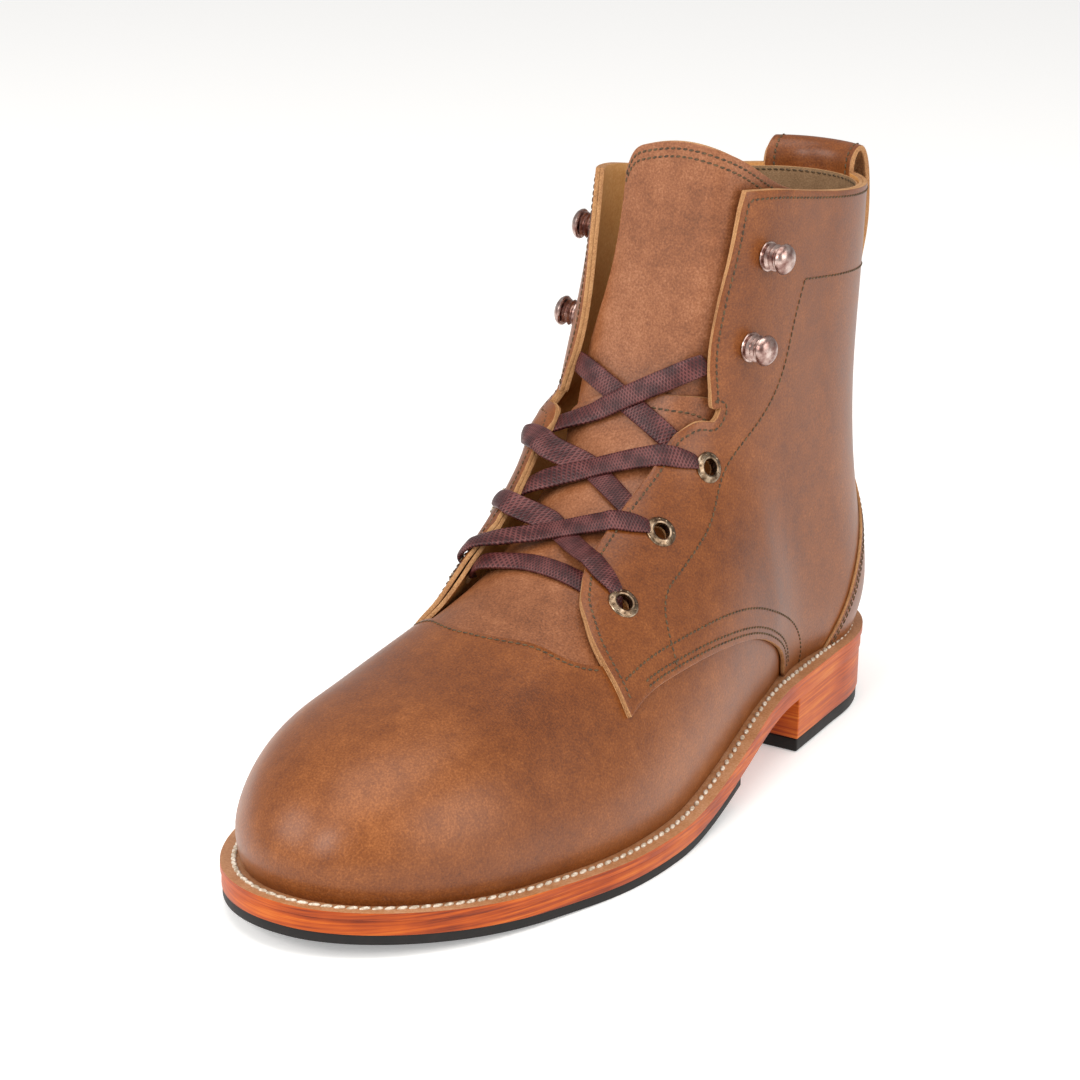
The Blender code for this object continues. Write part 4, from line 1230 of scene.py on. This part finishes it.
# %% Tongue
TONGUE_WALL = 1.7
TONGUE_MIDDLE = -1.0 - TONGUE_WALL / 2
FOOT_REACH = 0.19
FOOT_TUCK = 0.6
SEAM_TOP = 8.45
SEAM_TILT = 0.55
SEAM_BLEND = 1.1
SEAM_LIFT = 0.8
LEAF_START = 7.55
LEAF_GUIDE = 11.6
LEAF_SINK = 1.75
SINK_FADE = (8.2, 1.6)
LEAF_CURL = 1.4
CURL_FADE = (8.0, 2.0)
TONGUE_SIDES = (
    # level, lateral reach, medial reach
    (4.0, 0.205, 0.205),
    (5.0, 0.188, 0.188),
    (5.5, 0.168, 0.168),
    (6.0, 0.145, 0.145),
    (6.6, 0.128, 0.126),
    (7.3, 0.134, 0.116),
    (8.0, 0.150, 0.107),
    (8.7, 0.153, 0.091),
    (9.4, 0.158, 0.070),
    (10.3, 0.172, 0.055),
    (12.2, 0.186, 0.045),
)
LEAF_TOP = (
    # around, level
    (0.310, 10.95),
    (0.345, 11.02),
    (0.382, 11.20),
    (0.420, 11.61),
    (0.462, 11.95),
    (0.495, 11.92),
    (0.520, 11.74),
    (0.536, 11.48),
    (0.547, 11.05),
)
lateral_reach, medial_reach = table_curves(TONGUE_SIDES)
(leaf_top,) = table_curves(LEAF_TOP)


def tongue_around(across, level):
    return 0.5 - across * np.where(across > 0, lateral_reach(level), medial_reach(level))


def low_tongue_point(across, t, lift):
    foot_around = 0.5 - across * FOOT_REACH
    low = vamp_edge(foot_around) - FOOT_TUCK
    top = SEAM_TOP - SEAM_TILT * across ** 2
    level = low + (top - low) * t
    around = tongue_around(across, level)
    near_seam = 1 - ease((level - vamp_edge(around)) / SEAM_BLEND)
    return last_point(around, level, lift + SEAM_LIFT * near_seam)


def high_tongue_point(across, t, lift):
    around = tongue_around(across, LEAF_START + (LEAF_GUIDE - LEAF_START) * t)
    level = LEAF_START + (leaf_top(around) - LEAF_START) * t
    sink = LEAF_SINK * (1 - ease((level - SINK_FADE[0]) / SINK_FADE[1]))
    curl = LEAF_CURL * across ** 2 * ease((level - CURL_FADE[0]) / CURL_FADE[1])
    return last_point(around, level, lift - (sink + curl))


low_tongue = lay_sheet("tongue_foot", 60, 60, lambda s, t: low_tongue_point(2 * s - 1, t, TONGUE_MIDDLE))
give_thickness(low_tongue, TONGUE_WALL, (tongue_leather, lining_leather, raw_edge))
join_boot(low_tongue, "leather", "tongue")
high_tongue = lay_sheet("tongue_leaf", 70, 90, lambda s, t: high_tongue_point(2 * s - 1, t, TONGUE_MIDDLE))
give_thickness(high_tongue, TONGUE_WALL, (tongue_leather, lining_leather, raw_edge))
join_boot(high_tongue, "leather")

# %% [markdown]
# ## Stitches
# A stitch is modelled once as a small stretched ball, then copied along each row, turned to the row and to the
# leather. Rows beside a cut edge keep an even distance from it: the edge is moved inward along the leather and
# dropped on the last again. Rows inside a panel were read in the side view.


# %% Stitch helpers
def stitch_shape(length, width, height):
    bpy.ops.object.select_all(action="DESELECT")
    bpy.ops.mesh.primitive_uv_sphere_add(segments=8, ring_count=5, radius=0.5)
    ball = bpy.context.object
    shape = points_of(ball)[:, [2, 0, 1]] * (length, width, height)
    faces = [list(face.vertices) for face in ball.data.polygons]
    bpy.data.objects.remove(ball)
    return shape, faces


def spaced(points, pitch):
    """Points, directions and shares of the length at an even pitch along a drawn line."""
    length = np.r_[0, np.cumsum(np.linalg.norm(np.diff(points, axis=0), axis=1))]
    count = max(2, int(length[-1] / pitch))
    at = (np.arange(count) + 0.5) * length[-1] / count
    here, ahead, behind = [
        np.stack([np.interp(at + step, length, points[:, k]) for k in range(3)], -1) for step in (0.0, 0.3, -0.3)]
    return here, unit(ahead - behind), np.interp(at, length, np.linspace(0, 1, len(points)))


def sew(name, rows, shape, pitch, slant, finish):
    """One mesh of all stitches in rows; a row is its points and their outward directions, or None for the last's."""
    form, faces = shape
    points, cells = [], []
    for line, outward in rows:
        here, ahead, share = spaced(line, pitch)
        if outward is None:
            out = last_normal(here)
        else:
            shares = np.linspace(0, 1, len(line))
            out = unit(np.stack([np.interp(share, shares, outward[:, k]) for k in range(3)], -1))
        sideways = unit(np.cross(out, ahead))
        turned = np.cross(sideways, out) * np.cos(slant) + sideways * np.sin(slant)
        sideways = np.cross(out, turned)
        for k in range(len(here)):
            start = len(points) * len(form)
            points.append(here[k] + form @ np.stack([turned[k], sideways[k], out[k]]))
            cells += [[start + corner for corner in face] for face in faces]
    thread = new_piece(name, np.concatenate(points), cells)
    thread.data.materials.append(finish)
    select_only(thread)
    bpy.ops.object.mode_set(mode="EDIT")
    bpy.ops.mesh.select_all(action="SELECT")
    bpy.ops.mesh.normals_make_consistent(inside=False)
    bpy.ops.object.mode_set(mode="OBJECT")
    bpy.ops.object.shade_smooth()
    return thread


def beside_edge(edge_points, inset, lift, toward):
    """A line beside a cut edge: moved along the leather towards a point of the panel, then dropped on the last."""
    ahead = unit(np.gradient(edge_points, axis=0))
    out = last_normal(edge_points)
    inward = unit(np.cross(out, ahead))
    if (inward * (np.asarray(toward) - edge_points)).sum() < 0:
        inward = -inward
    return rest_on_last(edge_points + inward * inset, lift)


# %% Rows of the upper
STITCH_PITCH = 2.05
STITCH_SLANT = 0.16
PROUD = 0.04
TWIN_ROWS = (1.8, 3.6)
VAMP_ROW = 1.5
ON_QUARTER = QUARTER_OUT + PROUD
ON_COUNTER = COUNTER_OUT + PROUD
FACING_INSET = 2.5
COLLAR_ROW = 10.87
INNER_WING_ROW = (
    # x, z
    (188.0, 53.6), (176.0, 56.2), (163.0, 57.9), (146.0, 59.3), (128.5, 59.2), (108.8, 55.4), (90.0, 47.6),
    (74.4, 37.8), (68.8, 29.8), (67.3, 25.6),
)
FACING_LINING_ROW = (
    # x, z
    (72.8, 151.0), (77.7, 140.0), (85.0, 121.0), (96.0, 109.5), (109.3, 99.3), (125.0, 84.7), (136.4, 78.6),
    (146.8, 73.9), (153.7, 70.6), (159.4, 65.0), (162.0, 59.4), (164.0, 52.3),
)
COLLAR_LINING_ROW = ((72.8, 151.0), (55.0, 148.8), (38.0, 147.0), (22.0, 145.5), (16.0, 145.0))

rows = []
for side in (1, -1):
    panel_middle = last_point(np.array([0.2 * side]), np.array([7.0]), 0.0)[0]
    facing_line = last_point(facing_edge[:, 0] * side, facing_edge[:, 1], QUARTER_OUT)
    facing_row = beside_edge(facing_line, FACING_INSET, ON_QUARTER, panel_middle)
    facing_row = facing_row[6:][facing_edge[6:, 1] < COLLAR_ROW]
    collar_around = np.linspace(0.408, 0.036, 160)
    collar_row = last_point(collar_around * side, np.full(160, COLLAR_ROW), ON_QUARTER)
    rows.append((open_facing(np.concatenate([facing_row, collar_row])), None))
    wing_line = last_point(wing_edge[:, 0] * side, wing_edge[:, 1], QUARTER_OUT)
    for inset in TWIN_ROWS:
        rows.append((beside_edge(wing_line, inset, ON_QUARTER, panel_middle)[4:-6], None))
    for drawn in (INNER_WING_ROW, FACING_LINING_ROW, COLLAR_LINING_ROW):
        side_view = smooth_path(drawn, 120)
        rows.append((open_facing(side_point(side_view[:, 0], side_view[:, 1], side, ON_QUARTER)), None))
    level = np.linspace(0.12, 10.95, 200)
    counter_line = last_point(counter_reach(level) * side, level, COUNTER_OUT)
    heel_middle = last_point(np.array([0.0]), np.array([3.0]), 0.0)[0]
    for inset in TWIN_ROWS:
        rows.append((beside_edge(counter_line, inset, ON_COUNTER, heel_middle), None))

vamp_around = np.linspace(0.335, 0.665, 140)
vamp_line = last_point(vamp_around, vamp_edge(vamp_around), VAMP_WALL)
rows.append((beside_edge(vamp_line, VAMP_ROW, VAMP_WALL + PROUD, (240.0, 0.0, 60.0)), None))

# %% Rows of the tongue and the strap
ON_TONGUE = TONGUE_WALL / 2 + TONGUE_MIDDLE + 0.03
TONGUE_ROWS = (2.2, 4.6)
STRAP_INSET = 2.2
STRAP_ROWS = (2.4, 14.5, 18.0)
ON_STRAP = PULL_THICK / 2 + PROUD
across = np.linspace(-0.97, 0.97, 180)
for inset in TONGUE_ROWS:
    top_line = high_tongue_point(across, np.ones_like(across), ON_TONGUE)
    below = high_tongue_point(across, np.full_like(across, 0.93), ON_TONGUE)
    share = inset / np.linalg.norm(below - top_line, axis=1)
    rows.append((top_line + (below - top_line) * share[:, None], None))
seam = low_tongue_point(across, np.full_like(across, 0.945), ON_TONGUE)
rows.append((seam, None))
for strap_across in (STRAP_INSET / PULL_HALF_WIDTH - 1, 1 - STRAP_INSET / PULL_HALF_WIDTH):
    t = np.linspace(0.03, 0.985, 300)
    line = pull_point(np.full_like(t, strap_across), t)
    nearer = pull_point(np.full_like(t, 0.9 * strap_across), t)
    flat = unit(np.cross(np.gradient(line, axis=0), nearer - line))
    flat = flat * (1 if flat[0, 0] < 0 else -1)
    rows.append((line + flat * ON_STRAP, flat))
for row_mm in STRAP_ROWS:
    s_row = np.linspace(-0.82, 0.82, 60)
    line = pull_point(s_row, np.full_like(s_row, row_mm / pull_length))
    rows.append((line + last_normal(line) * ON_STRAP, last_normal(line)))
inside = np.linspace(-0.30, 0.30, 160)
rows.append((last_point(inside, np.full_like(inside, COLLAR_ROW), -0.55), None))

small_stitch = stitch_shape(1.65, 0.72, 0.55)
upper_stitches = sew("upper_stitches", rows, small_stitch, STITCH_PITCH, STITCH_SLANT, upper_thread)
join_boot(upper_stitches, "lace")

# %% [markdown]
# The welt is sewn to the outsole with thick cream thread. The needle goes down every 3.5 mm, and the lock of the
# thread makes each stitch lie a little aslant.

# %% Welt stitches
WELT_STITCH_INSET = 3.9
WELT_PITCH = 3.5
WELT_SLANT = 0.26
welt_loop = outline_loop(WELT_STITCH_INSET, 600)
welt_loop = np.concatenate([welt_loop, welt_loop[:1]])
welt_row = np.c_[welt_loop, sole_line(welt_loop[:, 0]) + WELT_TOP + 0.12]
welt_out = np.tile((0.0, 0.0, 1.0), (len(welt_row), 1))
big_stitch = stitch_shape(3.5, 1.5, 1.15)
welt_stitches = sew("welt_stitches", [(welt_row, welt_out)], big_stitch, WELT_PITCH, WELT_SLANT, welt_thread)
join_boot(welt_stitches, "natural")

# %% [markdown]
# ## Eyelets and hooks
# An eyelet is a rolled brass ring, pressed with a ring of small dots. A lace hook is a domed head on a curled neck
# with ribs, open towards the back, so that the lace can be hooked behind it. Each is drawn as a profile, spun round
# its axis and copied to its places.

# %% Fitting helpers
HOOK_PLACES = ((99.4, 134.7), (93.4, 161.9))
TO_THROAT = (0.92, 0.0, 0.39)


def spun(name, profile, steps, angle=2 * np.pi, start=0.0):
    """A closed profile of radius and height in millimetres, spun about z; an open turn gets its two ends filled."""
    bpy.ops.object.select_all(action="DESELECT")
    bpy.ops.mesh.primitive_circle_add(vertices=len(profile), radius=1.0, fill_type="NOTHING")
    ring = bpy.context.object
    ring.name = name
    line = np.array([(radius * np.cos(start), radius * np.sin(start), height) for radius, height in profile])
    put_points(ring, line * MM)
    bpy.ops.object.mode_set(mode="EDIT")
    bpy.ops.mesh.select_all(action="SELECT")
    bpy.ops.mesh.spin(steps=steps, angle=angle, center=(0, 0, 0), axis=(0, 0, 1))
    bpy.ops.mesh.select_all(action="SELECT")
    bpy.ops.mesh.remove_doubles(threshold=0.00002)
    bpy.ops.mesh.fill_holes(sides=0)
    bpy.ops.mesh.select_all(action="SELECT")
    bpy.ops.mesh.normals_make_consistent(inside=False)
    bpy.ops.object.mode_set(mode="OBJECT")
    return ring


def copies_at(name, master, places, lift, finish):
    """Copies of a fitting, each stood on the quarter with its x axis towards the throat, as one piece."""
    made = []
    for x, z in places:
        for side in (1, -1):
            foot = side_point(x, z, side, QUARTER_OUT + lift)
            out = last_normal(foot)[0]
            forward = unit(np.cross(np.cross(out, TO_THROAT), out))
            copy = master.copy()
            copy.data = master.data.copy()
            bpy.context.scene.collection.objects.link(copy)
            turned = points_of(copy) @ np.stack([forward, np.cross(out, forward), out])
            put_points(copy, to_world(open_facing(foot)) + turned)
            made.append(copy)
    bpy.data.objects.remove(master)
    piece = joined(name, made)
    piece.data.materials.clear()
    piece.data.materials.append(finish)
    bpy.ops.object.shade_smooth_by_angle(angle=np.radians(45))
    return piece


# %% Eyelets
EYELET_RING = (
    # radius, height
    (2.55, -1.6), (2.5, 0.2), (2.7, 0.8), (3.15, 1.0), (3.6, 0.8), (4.2, 0.62), (4.75, 0.42), (4.9, 0.12),
    (4.75, -0.1), (3.1, -0.1), (2.95, -1.6),
)
DOT_COUNT = 11
DOT_RING = 3.95
DOT_RADIUS = 0.36
DOT_HEIGHT = 0.68
SEAT = 0.03
eyelet = spun("eyelet_master", EYELET_RING, 44)
dots = []
for k in range(DOT_COUNT):
    angle = 2 * np.pi * k / DOT_COUNT
    bpy.ops.object.select_all(action="DESELECT")
    bpy.ops.mesh.primitive_uv_sphere_add(segments=10, ring_count=6, radius=DOT_RADIUS * MM)
    dot = bpy.context.object
    spot = np.array([DOT_RING * np.cos(angle), DOT_RING * np.sin(angle), DOT_HEIGHT])
    put_points(dot, points_of(dot) + spot * MM)
    dots.append(dot)
eyelet = joined("eyelet_master", [eyelet, *dots])
eyelets = copies_at("eyelets", eyelet, EYELET_PLACES, SEAT, antique_brass)
join_boot(eyelets, "metal", *[f"eyelet_{name}_{k}" for name in ("lateral", "medial") for k in (1, 2, 3)])

# %% Hooks
HOOK_HEAD = (
    # radius, height
    (0.0, 8.2), (1.6, 8.1), (3.0, 7.75), (4.0, 7.1), (4.6, 6.3), (4.75, 5.7), (4.5, 5.3), (3.6, 5.2), (0.0, 5.3),
)
HOOK_NECK = (
    # radius, height
    (3.3, 5.35), (3.75, 5.0), (4.1, 4.55), (3.8, 4.05), (3.3, 3.75), (3.75, 3.4), (4.15, 2.9), (3.8, 2.4),
    (3.35, 2.1), (3.8, 1.75), (4.25, 1.2), (4.1, 0.55), (3.9, 0.2), (2.6, 0.2), (2.5, 2.0), (2.5, 4.0), (2.6, 5.35),
)
HOOK_BASE = ((0.0, 0.45), (3.9, 0.45), (4.55, 0.3), (4.7, 0.0), (4.5, -0.15), (0.0, -0.15))
NECK_TURN = 5.2
head = spun("hook_head", HOOK_HEAD, 40)
neck = spun("hook_neck", HOOK_NECK, 28, angle=NECK_TURN, start=-NECK_TURN / 2)
base = spun("hook_base", HOOK_BASE, 36)
hook = joined("hook_master", [head, neck, base])
hooks = copies_at("lace_hooks", hook, HOOK_PLACES, SEAT, hook_nickel)
join_boot(hooks, "metal", *[f"hook_{name}_{k}" for name in ("lateral", "medial") for k in (1, 2)])

# %% [markdown]
# ## The lace
# The flat lace makes one bar under the lowest eyelets, then crosses from row to row. Into an eyelet it goes from
# above and narrows; under a facing it slips between leather and tongue. Each run is the straight line between two
# places pushed out to the last, so it lies on the round of the tongue as a pulled lace does. Its two ends go under
# the facings beside the notch, where they stop.

# %% Lace runs
LACE_WIDTH = 7.0
LACE_THICK = 1.2
LACE_CROWN = 0.4
OVER_FACING = QUARTER_OUT + 0.7
UNDER_FACING = -0.3
CROSS_HALF = 11.0
DIVE = 4.6
DIVE_SHARE = 0.08
PINCH = 0.5
PINCH_SHARE = 0.16
LACE_RUNS = (
    # name, start side, start place, start under, end side, end place, end under, rise
    ("lace_bar", 1, EYELET_PLACES[0], True, -1, EYELET_PLACES[0], True, 0.0),
    ("lace_run_1", 1, EYELET_PLACES[0], False, -1, EYELET_PLACES[1], False, 0.0),
    ("lace_run_2", -1, EYELET_PLACES[0], False, 1, EYELET_PLACES[1], False, 1.3),
    ("lace_run_3", 1, EYELET_PLACES[1], True, -1, EYELET_PLACES[2], False, 0.0),
    ("lace_run_4", -1, EYELET_PLACES[1], True, 1, EYELET_PLACES[2], False, 1.3),
    ("lace_run_5", 1, EYELET_PLACES[2], True, -1, (109.0, 123.0), True, 0.0),
    ("lace_run_6", -1, EYELET_PLACES[2], True, 1, (107.0, 131.5), True, 1.3),
)
LACE_ROWS = 90
HIDDEN_SHARE = 0.05
LAP = 2.0
low_edge = cut_line(FACING_LOW)
lateral_low = last_point(low_edge[:, 0], low_edge[:, 1], QUARTER_OUT)
medial_low = last_point(-low_edge[:, 0], low_edge[:, 1], QUARTER_OUT)


def facing_half(y, z):
    """How far from the middle the facing's edge lies, on the side of y, at a height."""
    lateral = np.interp(z, lateral_low[:, 2], lateral_low[:, 1])
    medial = np.interp(z, medial_low[:, 2], -medial_low[:, 1])
    return np.where(y > 0, lateral, medial)


def lace_place(start, end, under, rise):
    ends = np.concatenate([side_point(*start[1], start[0]), side_point(*end[1], end[0])])
    chord_way = unit(ends[1] - ends[0])
    outward = unit(last_normal(ends).sum(axis=0))
    clip = [HIDDEN_SHARE if under[0] else 0.0, 1 - HIDDEN_SHARE if under[1] else 1.0]

    def centre(t):
        share = clip[0] + (clip[1] - clip[0]) * t
        chord = ends[0] + (ends[1] - ends[0]) * share[:, None]
        reach = surface_reach(lambda up_by: (chord + outward * up_by[:, None]).T, len(t))
        on_last = chord + outward * reach[:, None]
        y, z = on_last[:, 1], on_last[:, 2]
        near_end = np.where(np.sign(y) == np.sign(ends[0][1]), under[0], under[1])
        beside = np.where(near_end, UNDER_FACING, OVER_FACING)
        middle = np.clip(1 - (y / (facing_half(y, z) - LAP)) ** 2, 0, 1) ** 0.8
        lift = beside * (1 - middle) + rise * np.clip(1 - (y / CROSS_HALF) ** 2, 0, 1)
        for here, dives in ((share, not under[0]), (1 - share, not under[1])):
            if dives:
                lift = lift - DIVE * (1 - ease(here / DIVE_SHARE)) ** 1.5
        return on_last + last_normal(on_last) * lift[:, None], share

    def place(s, t):
        middle, share = centre(t)
        out = last_normal(middle)
        sideways = unit(np.cross(out, chord_way))
        pinch = np.ones_like(t)
        for here, dives in ((share, not under[0]), (1 - share, not under[1])):
            if dives:
                pinch = pinch * (1 - PINCH + PINCH * ease(here / PINCH_SHARE))
        crown = LACE_CROWN * (1 - (2 * s - 1) ** 2)
        points = middle + sideways * ((s - 0.5) * LACE_WIDTH * pinch)[:, None] + out * crown[:, None]
        return open_facing(points)

    return place


runs = []
for name, side, place_a, under_a, far_side, place_b, under_b, rise in LACE_RUNS:
    place = lace_place((side, place_a), (far_side, place_b), (under_a, under_b), rise)
    run = lay_sheet(name, 8, LACE_ROWS, place)
    length = np.linalg.norm(np.diff(points_of(run)[4::9], axis=0), axis=1).sum()
    for loop in run.data.uv_layers["UVMap"].data:
        loop.uv = (loop.uv[1] * length, loop.uv[0] * LACE_WIDTH * MM)
    run.data.materials.append(lace_braid)
    add_wall(run, LACE_THICK)
    soft = run.modifiers.new("Soft", "SUBSURF")
    soft.levels = 1
    soft.render_levels = 1
    apply_modifiers(run)
    bpy.ops.object.shade_smooth()
    runs.append(run)
    print(name, "length mm:", round(length * 1000))
join_boot(runs[0], "lace", "lace_bar")
join_boot(joined("lace_first_crossing", runs[1:3]), "lace", "lace_crossing_1")
join_boot(joined("lace_second_crossing", runs[3:5]), "lace", "lace_crossing_2")
join_boot(joined("lace_third_crossing", runs[5:7]), "lace", "lace_crossing_3")
